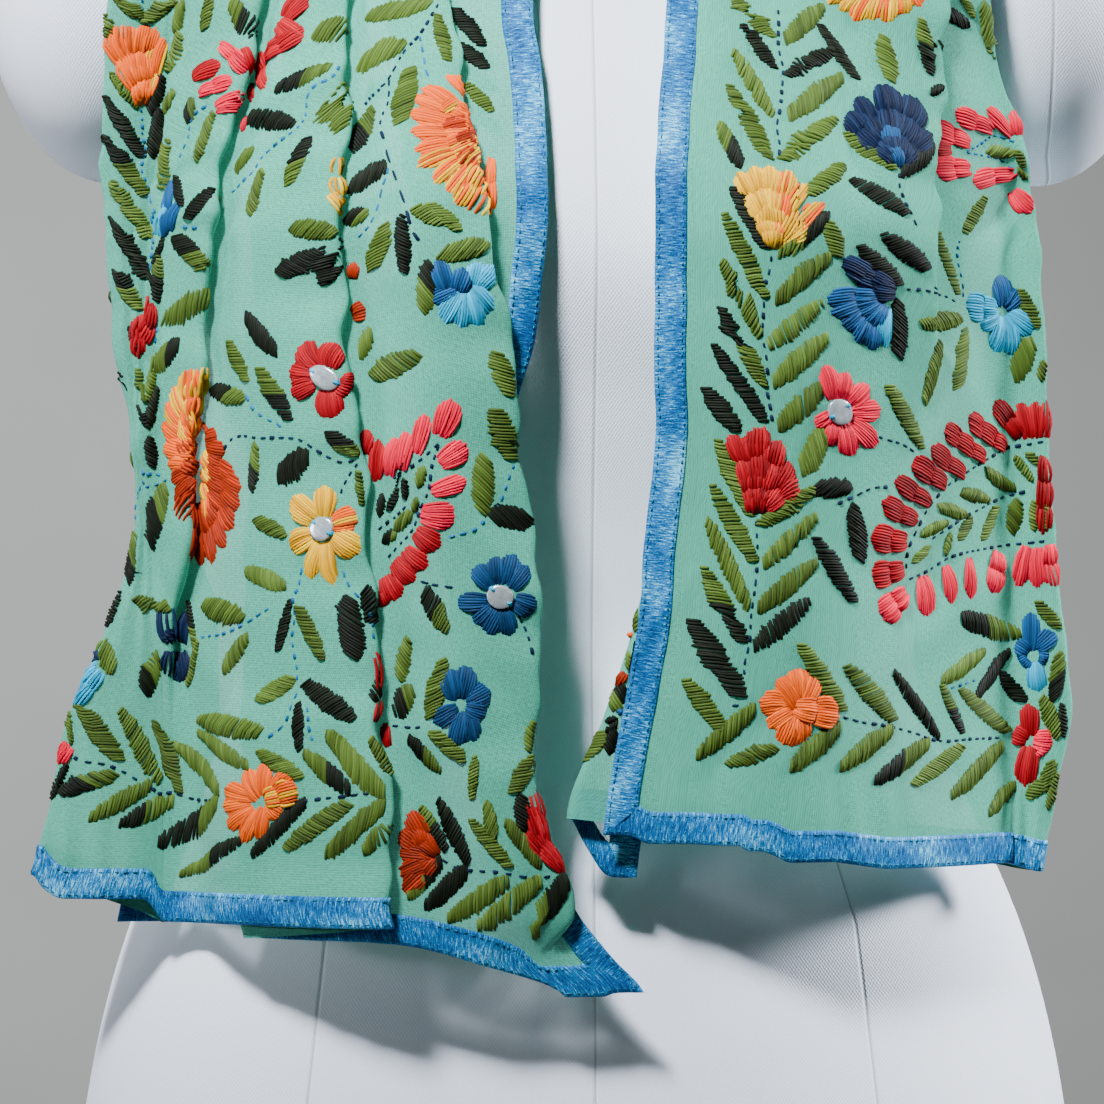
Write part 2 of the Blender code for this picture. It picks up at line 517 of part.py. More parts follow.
def build():
    for obj in list(bpy.data.objects):
        bpy.data.objects.remove(obj, do_unlink=True)
    make_form()
    mint, blue = (0.35, 0.70, 0.51), (0.05, 0.24, 0.55)
    for key, span, name in (("left", (-198, 0), "shawl_left_fall"),
                            ("neck", (0, 180), "shawl_neck"),
                            ("right", (180, 378), "shawl_right_fall")):
        u = section_columns(span)
        if key == "neck":
            sweeps = np.repeat(NECK_ROWS[:, None], len(u), 1)
        else:
            right = key == "right"
            sweeps = fall_rows(u, HEM_RIGHT if right else HEM_LEFT, right)
            sweeps = sweeps[::-1] if right else sweeps
        grid = cloth_grid(u, sweeps)
        cloth_solid(name, grid, WALL, mint)
        ribbons(key, grid, blue)


build()
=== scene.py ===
"""Phulkari shawl of sheer mint georgette, hung round the neck of a white cotton-covered dress form.

The cloth is one straight length in lengthwise knife pleats.  It is bound with blue satin ribbon and
worked in floss with leaves, flowers, paisleys, running-stitch vines and small mirrors.  Every size
is in millimetres and is turned to metres where a mesh is made.
"""
import logging
from dataclasses import dataclass, field
from enum import Enum

import bpy
import numpy as np
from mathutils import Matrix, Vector


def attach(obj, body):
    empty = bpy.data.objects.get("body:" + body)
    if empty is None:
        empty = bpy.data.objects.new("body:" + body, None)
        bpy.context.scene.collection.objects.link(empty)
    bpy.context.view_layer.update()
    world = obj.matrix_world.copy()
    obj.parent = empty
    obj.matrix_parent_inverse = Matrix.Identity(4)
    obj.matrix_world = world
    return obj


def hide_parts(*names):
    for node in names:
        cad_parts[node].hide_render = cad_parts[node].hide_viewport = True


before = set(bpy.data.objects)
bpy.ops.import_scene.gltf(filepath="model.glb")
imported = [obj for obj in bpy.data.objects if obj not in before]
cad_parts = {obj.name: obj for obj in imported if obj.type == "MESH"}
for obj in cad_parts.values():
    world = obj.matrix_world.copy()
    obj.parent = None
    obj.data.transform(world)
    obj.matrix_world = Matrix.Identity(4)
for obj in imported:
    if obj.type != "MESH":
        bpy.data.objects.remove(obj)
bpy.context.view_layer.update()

Array = np.ndarray
LOG = logging.getLogger("shawl")


# ---- small tools ----------------------------------------------------------------------------------
def linear(code: str) -> tuple[float, float, float, float]:
    """Turn an sRGB hex value into a linear colour.

    Args:
        code: six hex digits.
    Returns:
        Linear red, green, blue and an alpha of 1.
    """
    srgb = np.array([int(code[i:i + 2], 16) / 255 for i in (0, 2, 4)])
    lin = np.where(srgb <= 0.04045, srgb / 12.92, ((srgb + 0.055) / 1.055) ** 2.4)
    return (*lin.tolist(), 1.0)


def set_stops(ramp: bpy.types.ColorRamp, stops: tuple[tuple[float, str], ...]) -> None:
    """Put stops on a colour ramp.

    Args:
        ramp: the ramp.
        stops: place and hex colour of each, in rising order.
    """
    while len(ramp.elements) < len(stops):
        ramp.elements.new(0.5)
    for element, (place, code) in zip(ramp.elements, stops):
        element.position, element.color = place, linear(code)


def node(tree: bpy.types.NodeTree, kind: str, settings: dict | None = None, **links) -> bpy.types.Node:
    """Add one shader node with its settings, values and links.

    Args:
        tree: the material's node tree.
        kind: node type without its ShaderNode prefix.
        settings: attributes set on the node; "stops" are a colour ramp's places and hex colours.
        links: socket name (underscores for spaces, a number for a position as i0, i1) to a value or
            to the output socket that feeds it.
    Returns:
        The new node.
    """
    new = tree.nodes.new("ShaderNode" + kind)
    for key, value in (settings or {}).items():
        if key == "stops":
            set_stops(new.color_ramp, value)
        else:
            setattr(new, key, value)
    for key, value in links.items():
        socket = new.inputs[int(key[1:]) if key[0] == "i" and key[1:].isdigit() else key.replace("_", " ")]
        if isinstance(value, bpy.types.NodeSocket):
            tree.links.new(value, socket)
        else:
            socket.default_value = value
    return new


def new_material(name: str) -> tuple[bpy.types.Material, bpy.types.NodeTree, bpy.types.Node]:
    """Empty material with an output node.

    Args:
        name: the real material's name.
    Returns:
        Material, its node tree and its output node.
    """
    mat = bpy.data.materials.new(name)
    mat.use_nodes = True
    tree = mat.node_tree
    tree.nodes.clear()
    return mat, tree, tree.nodes.new("ShaderNodeOutputMaterial")


def quads_of(rows: int, cols: int, wrap: bool = False) -> Array:
    """Corner numbers of a grid's quads, row by row.

    Args:
        rows: rows of the grid.
        cols: columns of the grid.
        wrap: whether the last column joins the first.
    Returns:
        One row of four corners per quad.
    """
    last = cols if wrap else cols - 1
    r, c = np.meshgrid(np.arange(rows - 1), np.arange(last), indexing="ij")
    r, c, n = r.ravel(), c.ravel(), (c.ravel() + 1) % cols
    return np.stack([r * cols + c, r * cols + n, (r + 1) * cols + n, (r + 1) * cols + c], -1)


def make_piece(name: str, points: Array, quads: Array, material: bpy.types.Material, uv: Array | None = None,
               extra: dict[str, Array] | None = None) -> bpy.types.Object:
    """Put points and quads into a smooth mesh object at the origin.

    Args:
        name: name of the piece.
        points: corner positions in millimetres.
        quads: four corner numbers per face.
        material: the finish.
        uv: one texture position per point, or per corner of the quads, in metres.
        extra: further point attributes, one number or one vector per point.
    Returns:
        The new object.
    """
    mesh = bpy.data.meshes.new(name)
    mesh.vertices.add(len(points))
    mesh.vertices.foreach_set("co", (np.asarray(points) * 0.001).astype(np.float32).ravel())
    mesh.loops.add(quads.size)
    mesh.loops.foreach_set("vertex_index", quads.astype(np.int32).ravel())
    mesh.polygons.add(len(quads))
    mesh.polygons.foreach_set("loop_start", np.arange(0, quads.size, 4, dtype=np.int32))
    mesh.update(calc_edges=True)
    if uv is not None:
        layer = mesh.uv_layers.new(name="cloth")
        corners = uv if len(uv) == quads.size else uv[quads.ravel()]
        layer.data.foreach_set("uv", corners.astype(np.float32).ravel())
    for key, values in (extra or {}).items():
        kind = "FLOAT" if values.ndim == 1 else "FLOAT_VECTOR"
        mesh.attributes.new(key, kind, "POINT").data.foreach_set(
            "value" if values.ndim == 1 else "vector", values.astype(np.float32).ravel())
    mesh.shade_smooth()
    mesh.materials.append(material)
    obj = bpy.data.objects.new(name, mesh)
    bpy.context.scene.collection.objects.link(obj)
    LOG.info("%s: %d triangles", name, 2 * len(quads))
    return obj


def bilinear(table: Array, row: Array, col: Array) -> Array:
    """Read a table between its entries.

    Args:
        table: values on a grid.
        row: row positions.
        col: column positions.
    Returns:
        Values at those positions.
    """
    row = np.clip(row, 0, table.shape[0] - 1.001)
    col = np.clip(col, 0, table.shape[1] - 1.001)
    i, j = row.astype(int), col.astype(int)
    a, b = row - i, col - j
    if table.ndim == 3:
        a, b = a[..., None], b[..., None]
    return (table[i, j] * (1 - a) * (1 - b) + table[i + 1, j] * a * (1 - b)
            + table[i, j + 1] * (1 - a) * b + table[i + 1, j + 1] * a * b)


def find_along(lengths: Array, wanted: Array) -> Array:
    """Fractional column at which each row of rising lengths reaches the wanted values.

    Args:
        lengths: rising values, one row per line.
        wanted: values to find, one row per line or one row for all.
    Returns:
        Column positions, one row per line.
    """
    wanted = np.broadcast_to(wanted, (len(lengths), np.shape(wanted)[-1]))
    index = np.stack([np.searchsorted(line, want, side="right") - 1 for line, want in zip(lengths, wanted)])
    index = np.clip(index, 0, lengths.shape[1] - 2)
    low = np.take_along_axis(lengths, index, 1)
    high = np.take_along_axis(lengths, index + 1, 1)
    return index + np.clip((wanted - low) / np.maximum(high - low, 1e-6), 0, 1)


def lerp(a: Array | float, b: Array | float, f: Array | float) -> Array:
    """Straight mix of a and b by f."""
    return a + (b - a) * f


def hermite(u: Array, h: Array, ends: tuple[Array, Array], slopes: tuple[Array, Array]) -> Array:
    """Cubic through two values with given slopes there.

    Args:
        u: place between the two, 0 to 1.
        h: distance between them.
        ends: the values.
        slopes: the slopes.
    Returns:
        Values of the cubic.
    """
    return ((2 * u**3 - 3 * u**2 + 1) * ends[0] + (u**3 - 2 * u**2 + u) * h * slopes[0]
            + (3 * u**2 - 2 * u**3) * ends[1] + (u**3 - u**2) * h * slopes[1])


def unit(vectors: Array) -> Array:
    """Vectors brought to length 1."""
    return vectors / np.maximum(np.linalg.norm(vectors, axis=-1, keepdims=True), 1e-6)


def even_rows(values: Array, times: int) -> Array:
    """Average each row with its neighbours, which count half as much, the given number of times."""
    for _ in range(times):
        pad = np.pad(values, ((1, 1), (0, 0)), mode="edge")
        values = (pad[:-2] + 2 * pad[1:-1] + pad[2:]) / 4
    return values


# ---- finishes -------------------------------------------------------------------------------------
@dataclass(frozen=True)
class SheerGeorgette:
    """Crepe-twist georgette, piece-dyed mint: dull, soft, part see-through, with a fine square weave."""
    name: str = "mint georgette"
    light: str = "65CFB1"
    middle: str = "55BB9E"
    shade: str = "4AA58B"
    thread: float = 0.00085      # spacing in metres, drawn coarser than real so that it shows
    crepe: float = 1 / 900       # size of a crepe grain
    cloud: float = 1 / 28        # size of a patch of uneven dye
    cover: float = 0.77

    def material(self) -> bpy.types.Material:
        """Matte cloth that passes part of the light, with weave in its colour, cover and relief."""
        mat, tree, out = new_material(self.name)
        uv = node(tree, "TexCoord").outputs["UV"]
        space = node(tree, "TexCoord").outputs["Object"]
        warp, weft = (node(tree, "TexWave", {"bands_direction": way}, Vector=uv, Scale=0.314 / self.thread,
                           Distortion=1.2, Detail=1.0, Detail_Scale=0.4).outputs["Fac"] for way in "XY")
        weave = node(tree, "Math", {"operation": "MULTIPLY"}, i0=warp, i1=weft).outputs[0]
        crepe = node(tree, "TexNoise", None, Vector=uv, Scale=1 / self.crepe, Detail=2.0).outputs["Fac"]
        cloud = node(tree, "TexNoise", None, Vector=space, Scale=1 / self.cloud, Detail=4.0).outputs["Fac"]
        grain = node(tree, "Math", {"operation": "MULTIPLY_ADD"}, i0=weave, i1=0.45, i2=crepe).outputs[0]
        tone = node(tree, "Math", {"operation": "MULTIPLY_ADD"}, i0=cloud, i1=0.5, i2=grain).outputs[0]
        tone = node(tree, "MapRange", None, Value=tone, From_Min=0.5, From_Max=1.15).outputs[0]
        stops = ((0.0, self.shade), (0.5, self.middle), (1.0, self.light))
        colour = node(tree, "ValToRGB", {"stops": stops}, Fac=tone).outputs[0]
        bump = node(tree, "Bump", None, Strength=0.35, Distance=0.0003, Height=grain).outputs[0]
        cover = node(tree, "MapRange", None, Value=grain, From_Min=0.3, From_Max=1.0, To_Min=self.cover - 0.1,
                     To_Max=self.cover + 0.08).outputs[0]
        skin = node(tree, "BsdfPrincipled", None, Base_Color=colour, Roughness=0.75, Normal=bump, Alpha=cover)
        skin.inputs["Sheen Weight"].default_value = 0.06
        skin.inputs["Sheen Roughness"].default_value = 0.5
        skin.inputs["Specular IOR Level"].default_value = 0.15
        through = node(tree, "BsdfTranslucent", None, Color=colour, Normal=bump)
        mixed = node(tree, "MixShader", None, Fac=0.28, i1=skin.outputs[0], i2=through.outputs[0])
        tree.links.new(mixed.outputs[0], out.inputs[0])
        return mat


@dataclass(frozen=True)
class SatinRibbon:
    """Woven satin ribbon, dyed blue, with its sheen painted into the colour: silvery streaks and flecks of
    painted highlight and broad light and dark bands of painted sheen.
    """
    name: str = "blue satin ribbon"
    # ramp of the blue with the satin's sheen painted in: deep is painted shade, the two lightest stops are
    # painted highlight
    deep: str = "0A3768"
    body: str = "1A6199"
    painted_gloss: str = "2579AE"
    silver: str = "70C8E4"
    sheen_streak: tuple[float, float] = (1 / 2200, 1 / 260)       # width and length of a streak of painted highlight, in metres
    sheen_fleck: tuple[float, float] = (1 / 3600, 1 / 1500)       # the same of a fleck of painted highlight
    sheen_band: tuple[float, float] = (1 / 26, 1 / 60)           # the same of a broad light and dark band of painted sheen
    sheen_patch: float = 1 / 70                                   # size of a patch of painted sheen
    shift: float = 0.31                                     # sets the broad changes apart from the patches

    def material(self) -> bpy.types.Material:
        """Painted sheen: streaks and flecks of highlight and broad light and dark bands lie in the colour.
        The streaks lie across the ribbon: u runs along it and v across.
        """
        mat, tree, out = new_material(self.name)
        uv = node(tree, "TexCoord").outputs["UV"]
        streak_at, fleck_at, broad_at = (
            node(tree, "Mapping", None, Vector=uv, Location=(shift, 0.0, 0.0),
                 Scale=(1 / size[0], 1 / size[1], 1.0)).outputs[0]
            for size, shift in ((self.sheen_streak, 0.0), (self.sheen_fleck, 0.0), (self.sheen_band, self.shift)))
        sheen_streak = node(tree, "TexNoise", None, Vector=streak_at, Scale=1.0, Detail=2.0,
                      Roughness=0.6).outputs["Fac"]
        sheen_fleck = node(tree, "TexNoise", None, Vector=fleck_at, Scale=1.0, Detail=1.0).outputs["Fac"]
        sheen_patch = node(tree, "TexNoise", None, Vector=uv, Scale=1 / self.sheen_patch, Detail=2.0).outputs["Fac"]
        both = node(tree, "Math", {"operation": "MULTIPLY_ADD"}, i0=sheen_streak, i1=2.3, i2=sheen_fleck).outputs[0]
        both = node(tree, "Math", {"operation": "MULTIPLY_ADD"}, i0=sheen_patch, i1=0.55, i2=both).outputs[0]
        sheen_band = node(tree, "TexNoise", None, Vector=broad_at, Scale=1.0, Detail=1.0).outputs["Fac"]
        both = node(tree, "Math", {"operation": "MULTIPLY_ADD"}, i0=sheen_band, i1=1.3, i2=both).outputs[0]
        tone = node(tree, "MapRange", None, Value=both, From_Min=2.1, From_Max=3.12).outputs[0]
        # painted sheen: the noise sum runs the colour from painted shade to painted highlight
        stops = ((0.1, self.deep), (0.42, self.body), (0.66, self.painted_gloss), (0.92, self.silver))
        colour = node(tree, "ValToRGB", {"stops": stops}, Fac=tone).outputs[0]
        rough = node(tree, "MapRange", None, Value=both, From_Min=2.0, From_Max=3.2, To_Min=0.6,
                     To_Max=0.36).outputs[0]
        bump = node(tree, "Bump", None, Strength=0.3, Distance=0.0001, Height=both).outputs[0]
        skin = node(tree, "BsdfPrincipled", None, Base_Color=colour, Roughness=rough, Normal=bump)
        skin.inputs["Specular IOR Level"].default_value = 0.07
        tree.links.new(skin.outputs[0], out.inputs[0])
        return mat


@dataclass(frozen=True)
class Floss:
    """Six-strand cotton floss, mercerised: soft gloss along each strand and slightly uneven dye."""
    name: str
    dark: str
    body: str
    light: str
    strand: tuple[float, float] = (1 / 90, 1 / 5200)        # length and width of a strand, in metres

    def material(self) -> bpy.types.Material:
        """Tone varies from stitch to stitch; strands run along each stitch, v across it."""
        mat, tree, out = new_material(self.name)
        uv = node(tree, "TexCoord").outputs["UV"]
        tone = node(tree, "Attribute", {"attribute_name": "tone"}).outputs["Fac"]
        strand_at = node(tree, "Mapping", None, Vector=uv,
                         Scale=(1 / self.strand[0], 1 / self.strand[1], 1.0)).outputs[0]
        strand = node(tree, "TexNoise", None, Vector=strand_at, Scale=1.0, Detail=1.0).outputs["Fac"]
        shade = node(tree, "Math", {"operation": "MULTIPLY_ADD"}, i0=strand, i1=0.7, i2=tone).outputs[0]
        shade = node(tree, "Math", {"operation": "SUBTRACT"}, i0=shade, i1=0.35).outputs[0]
        stops = ((0.0, self.dark), (0.5, self.body), (1.0, self.light))
        colour = node(tree, "ValToRGB", {"stops": stops}, Fac=shade).outputs[0]
        bump = node(tree, "Bump", None, Strength=0.5, Distance=0.0003, Height=strand).outputs[0]
        skin = node(tree, "BsdfPrincipled", None, Base_Color=colour, Roughness=0.62, Normal=bump)
        skin.inputs["Specular IOR Level"].default_value = 0.12
        tree.links.new(skin.outputs[0], out.inputs[0])
        return mat


@dataclass(frozen=True)
class CottonCover:
    """Close-woven white cotton stretched over padding: matte, cool white, sewn in panels."""
    name: str = "white cotton cover"
    white: str = "EEF5FF"
    shade: str = "E4EBF8"
    seam: float = 0.45           # half width in millimetres of the line of painted shade along a seam
    weft: float = 0.00121        # spacing in metres of the floats round the form, drawn to show
    warp: float = 0.00177        # spacing of the floats up it
    fuzz: float = 1 / 1500       # size of the cotton's fine fuzz
    cloud: float = 1 / 14        # size of a patch of tone

    def material(self) -> bpy.types.Material:
        """Fine weave, and a narrow trough with a line of painted shade wherever a panel seam passes."""
        mat, tree, out = new_material(self.name)
        space = node(tree, "TexCoord").outputs["Object"]
        fuzz = node(tree, "TexNoise", None, Vector=space, Scale=1 / self.fuzz, Detail=2.0).outputs["Fac"]
        place = node(tree, "SeparateXYZ", None, Vector=node(tree, "TexCoord").outputs["UV"]).outputs
        floats = [node(tree, "Math", {"operation": "COSINE"}, i0=node(
            tree, "Math", {"operation": "MULTIPLY"}, i0=place[k], i1=2 * np.pi / pitch).outputs[0]).outputs[0]
                  for k, pitch in enumerate((self.weft, self.warp))]
        weave = node(tree, "Math", {"operation": "MULTIPLY"}, i0=floats[0], i1=floats[1]).outputs[0]
        weave = node(tree, "Math", {"operation": "MULTIPLY_ADD"}, i0=weave, i1=0.6, i2=fuzz).outputs[0]
        cloud = node(tree, "TexNoise", None, Vector=space, Scale=1 / self.cloud, Detail=3.0).outputs["Fac"]
        tone = node(tree, "Math", {"operation": "MULTIPLY_ADD"}, i0=weave, i1=0.8, i2=cloud).outputs[0]
        tone = node(tree, "MapRange", None, Value=tone, From_Min=0.45, From_Max=1.15).outputs[0]
        stops = ((0.0, self.shade), (1.0, self.white))
        colour = node(tree, "ValToRGB", {"stops": stops}, Fac=tone).outputs[0]
        parts = node(tree, "SeparateXYZ", None, Vector=node(
            tree, "Attribute", {"attribute_name": "seams"}).outputs["Vector"]).outputs
        near, *others = [node(tree, "Math", {"operation": "ABSOLUTE"}, i0=part).outputs[0] for part in parts]
        for away in others:
            near = node(tree, "Math", {"operation": "MINIMUM"}, i0=near, i1=away).outputs[0]
        trough = node(tree, "MapRange", {"interpolation_type": "SMOOTHSTEP"}, Value=near, From_Min=0.0,
                      From_Max=self.seam * 2.4).outputs[0]
        # painted shade: along the middle of each seam the colour is darkened to 0.62, for the shade in its
        # trough
        line = node(tree, "MapRange", None, Value=near, From_Min=self.seam * 0.4, From_Max=self.seam,
                    To_Min=0.62, To_Max=1.0).outputs[0]
        dark = node(tree, "VectorMath", {"operation": "SCALE"}, i0=colour, Scale=line)
        height = node(tree, "Math", {"operation": "MULTIPLY_ADD"}, i0=weave, i1=0.3, i2=trough).outputs[0]
        bump = node(tree, "Bump", None, Strength=0.6, Distance=0.0005, Height=height).outputs[0]
        skin = node(tree, "BsdfPrincipled", None, Base_Color=dark.outputs[0], Roughness=0.85, Normal=bump)
        skin.inputs["Sheen Weight"].default_value = 0.1
        skin.inputs["Specular IOR Level"].default_value = 0.2
        tree.links.new(skin.outputs[0], out.inputs[0])
        return mat


@dataclass(frozen=True)
class MirrorGlass:
    """Thin silvered glass disc with a ground rim, slightly clouded behind."""
    name: str = "silvered mirror glass"
    silver: str = "B9BFC2"
    dull: str = "9AA5A8"
    cloud: float = 1 / 420       # size in metres of a cloudy patch

    def material(self) -> bpy.types.Material:
        """Metal mirror whose gloss is broken by faint clouding."""
        mat, tree, out = new_material(self.name)
        space = node(tree, "TexCoord").outputs["Object"]
        cloud = node(tree, "TexNoise", None, Vector=space, Scale=1 / self.cloud, Detail=3.0).outputs["Fac"]
        rough = node(tree, "MapRange", None, Value=cloud, To_Min=0.12, To_Max=0.4).outputs[0]
        stops = ((0.3, self.dull), (0.7, self.silver))
        colour = node(tree, "ValToRGB", {"stops": stops}, Fac=cloud).outputs[0]
        skin = node(tree, "BsdfPrincipled", None, Base_Color=colour, Metallic=0.45, Roughness=rough)
        tree.links.new(skin.outputs[0], out.inputs[0])
        return mat


class Skein(Enum):
    """Threads that the work uses."""
    LEAF = Floss("olive leaf floss", "2A3910", "42581C", "5A752F")
    NIGHT = Floss("bottle green floss", "050903", "0C1207", "1B2216")
    RED = Floss("red floss", "600309", "900613", "BA1423")
    CORAL = Floss("coral floss", "8A071E", "CC0F31", "F91C45")
    ORANGE = Floss("orange floss", "943502", "DA5203", "F66E0C")
    # Burnt orange thread, darkened past its own colour: partly a real darker orange, partly painted shade
    # where orange petals lie in shadow, as in a fold.
    BURNT = Floss("burnt orange floss and painted shade", "551402", "862102", "BE3208")
    YELLOW = Floss("yellow floss", "8F6502", "D69A03", "E9C414")
    BLUE = Floss("blue floss", "072B49", "11436F", "235B92")
    SKY = Floss("sky blue floss", "03637C", "0794B7", "11C0EC")
    NAVY = Floss("navy floss", "030A1A", "091834", "183252")
    STEM = Floss("teal running thread", "083D59", "125D86", "257CAF")
    BLIND = Floss("teal sewing thread", "0B3F52", "16617C", "2981A1")


# ---- the dress form -------------------------------------------------------------------------------
@dataclass
class FormShape:
    """Radii of the padded torso, its arm stubs and its neck, as a polar height field."""
    sections: Array = field(default_factory=lambda: np.array([
        # height, half width, depth in front, depth behind
        (0, 170, 98, 112), (30, 176, 103, 118), (70, 180, 107, 120), (130, 176, 108, 112),
        (193, 161, 104, 97), (240, 141, 97, 84), (285, 122, 88, 75), (330, 127, 93, 82),
        (380, 142, 104, 92), (435, 152, 114, 98), (480, 157, 106, 98), (520, 163, 92, 93),
        (555, 172, 79, 86), (585, 176, 66, 76), (600, 160, 58, 66), (612, 135, 52, 58),
        (624, 108, 46, 50), (636, 78, 38, 42), (646, 48, 28, 32), (652, 20, 14, 16),
        (654, 2, 2, 2)], float))
    neck_radius: float = 57.0
    neck_back: float = 8.0
    neck_top: float = 704.0
    stub_centre: tuple[float, float, float] = (166.0, -2.0, 534.0)
    stub_half: tuple[float, float, float] = (46.0, 54.0, 73.0)
    squareness: float = 2.25     # power of the squared ellipse
    crown: float = 653.9         # top of the torso
    closed: float = 653.5        # height from which the torso has no radius
    cup_out: float = 72.0        # bust cups: distance out, height, both half sizes and rise
    cup_height: float = 430.0
    cup_wide: float = 42.0
    cup_tall: float = 46.0
    cup_rise: float = 17.0
    neck_foot: float = 560.0     # height from which the neck counts
    neck_rim: float = 14.0       # radius of its upper edge
    stub_blend: int = 14         # powers of the soft maximum: the higher, the sharper the joint
    neck_blend: int = 7

    def torso(self, angle: Array, z: Array) -> Array:
        """Squared ellipse at each height, plus two bell-shaped bust cups in front.

        Args:
            angle: direction from the middle.
            z: height.
        Returns:
            Radius in that direction.
        """
        z = np.clip(z, 0, self.crown)
        t = self.sections[:, 0]
        i = np.clip(np.searchsorted(t, z, side="right") - 1, 0, len(t) - 2)
        h = t[i + 1] - t[i]
        u = (z - t[i]) / h
        half, front, back = (hermite(u, h, (v[i], v[i + 1]), (m[i], m[i + 1]))
                             for v in self.sections[:, 1:].T for m in [np.gradient(v, t)])
        c, s = np.cos(angle), np.sin(angle)
        depth = np.where(s < 0, front, back)
        power = self.squareness
        r = (np.abs(c / half)**power + np.abs(s / np.maximum(depth, 1))**power)**(-1 / power)
        for side in (-1, 1):
            cup = np.exp(-((r * c - side * self.cup_out) / self.cup_wide)**2
                         - ((z - self.cup_height) / self.cup_tall)**2)
            r = r + self.cup_rise * cup * np.clip(-s, 0, 1)
        return np.where(z > self.closed, 0, r)

    def stubs(self, angle: Array, z: Array) -> Array:
        """Far side of the two arm-stub ellipsoids, found by the quadratic of a ray from the middle.

        Args:
            angle: direction from the middle.
            z: height.
        Returns:
            Radius, or 0 where the ray misses.
        """
        cx, cy, cz = self.stub_centre
        ring = np.sqrt(np.clip(1 - ((z - cz) / self.stub_half[2])**2, 0, None)) + 1e-9
        out = np.zeros(np.broadcast(angle, z).shape)
        for side in (-1, 1):
            ax, ay = self.stub_half[0] * ring, self.stub_half[1] * ring
            dx, dy, ox, oy = np.cos(angle), np.sin(angle), -side * cx, -cy
            qa = (dx / ax)**2 + (dy / ay)**2
            qb = 2 * (ox * dx / ax**2 + oy * dy / ay**2)
            disc = qb * qb - 4 * qa * ((ox / ax)**2 + (oy / ay)**2 - 1)
            root = (-qb + np.sqrt(np.maximum(disc, 0))) / (2 * qa)
            out = np.maximum(out, np.where((disc > 0) & (ring > 1e-6) & (root > 0), root, 0))
        return out

    def radius(self, angle: Array, z: Array, neck: bool) -> Array:
        """Soft maximum of the torso and either the stubs or the neck.

        Args:
            angle: direction from the middle.
            z: height.
            neck: whether the neck counts, and not the stubs.
        Returns:
            Outer radius.
        """
        body = self.torso(angle, z)
        if not neck:
            return (body**self.stub_blend + self.stubs(angle, z)**self.stub_blend)**(1 / self.stub_blend)
        top = np.clip((z - (self.neck_top - self.neck_rim)) / self.neck_rim, 0, 1)
        r = self.neck_radius * np.sqrt(np.clip(1 - top**2, 0, 1))
        s, c = np.sin(angle), np.cos(angle)
        inside = np.maximum(r**2 - (self.neck_back * c)**2, 0)
        column = np.where(z > self.neck_foot, np.maximum(self.neck_back * s + np.sqrt(inside), 0.5), 0)
        return (body**self.neck_blend + column**self.neck_blend)**(1 / self.neck_blend)


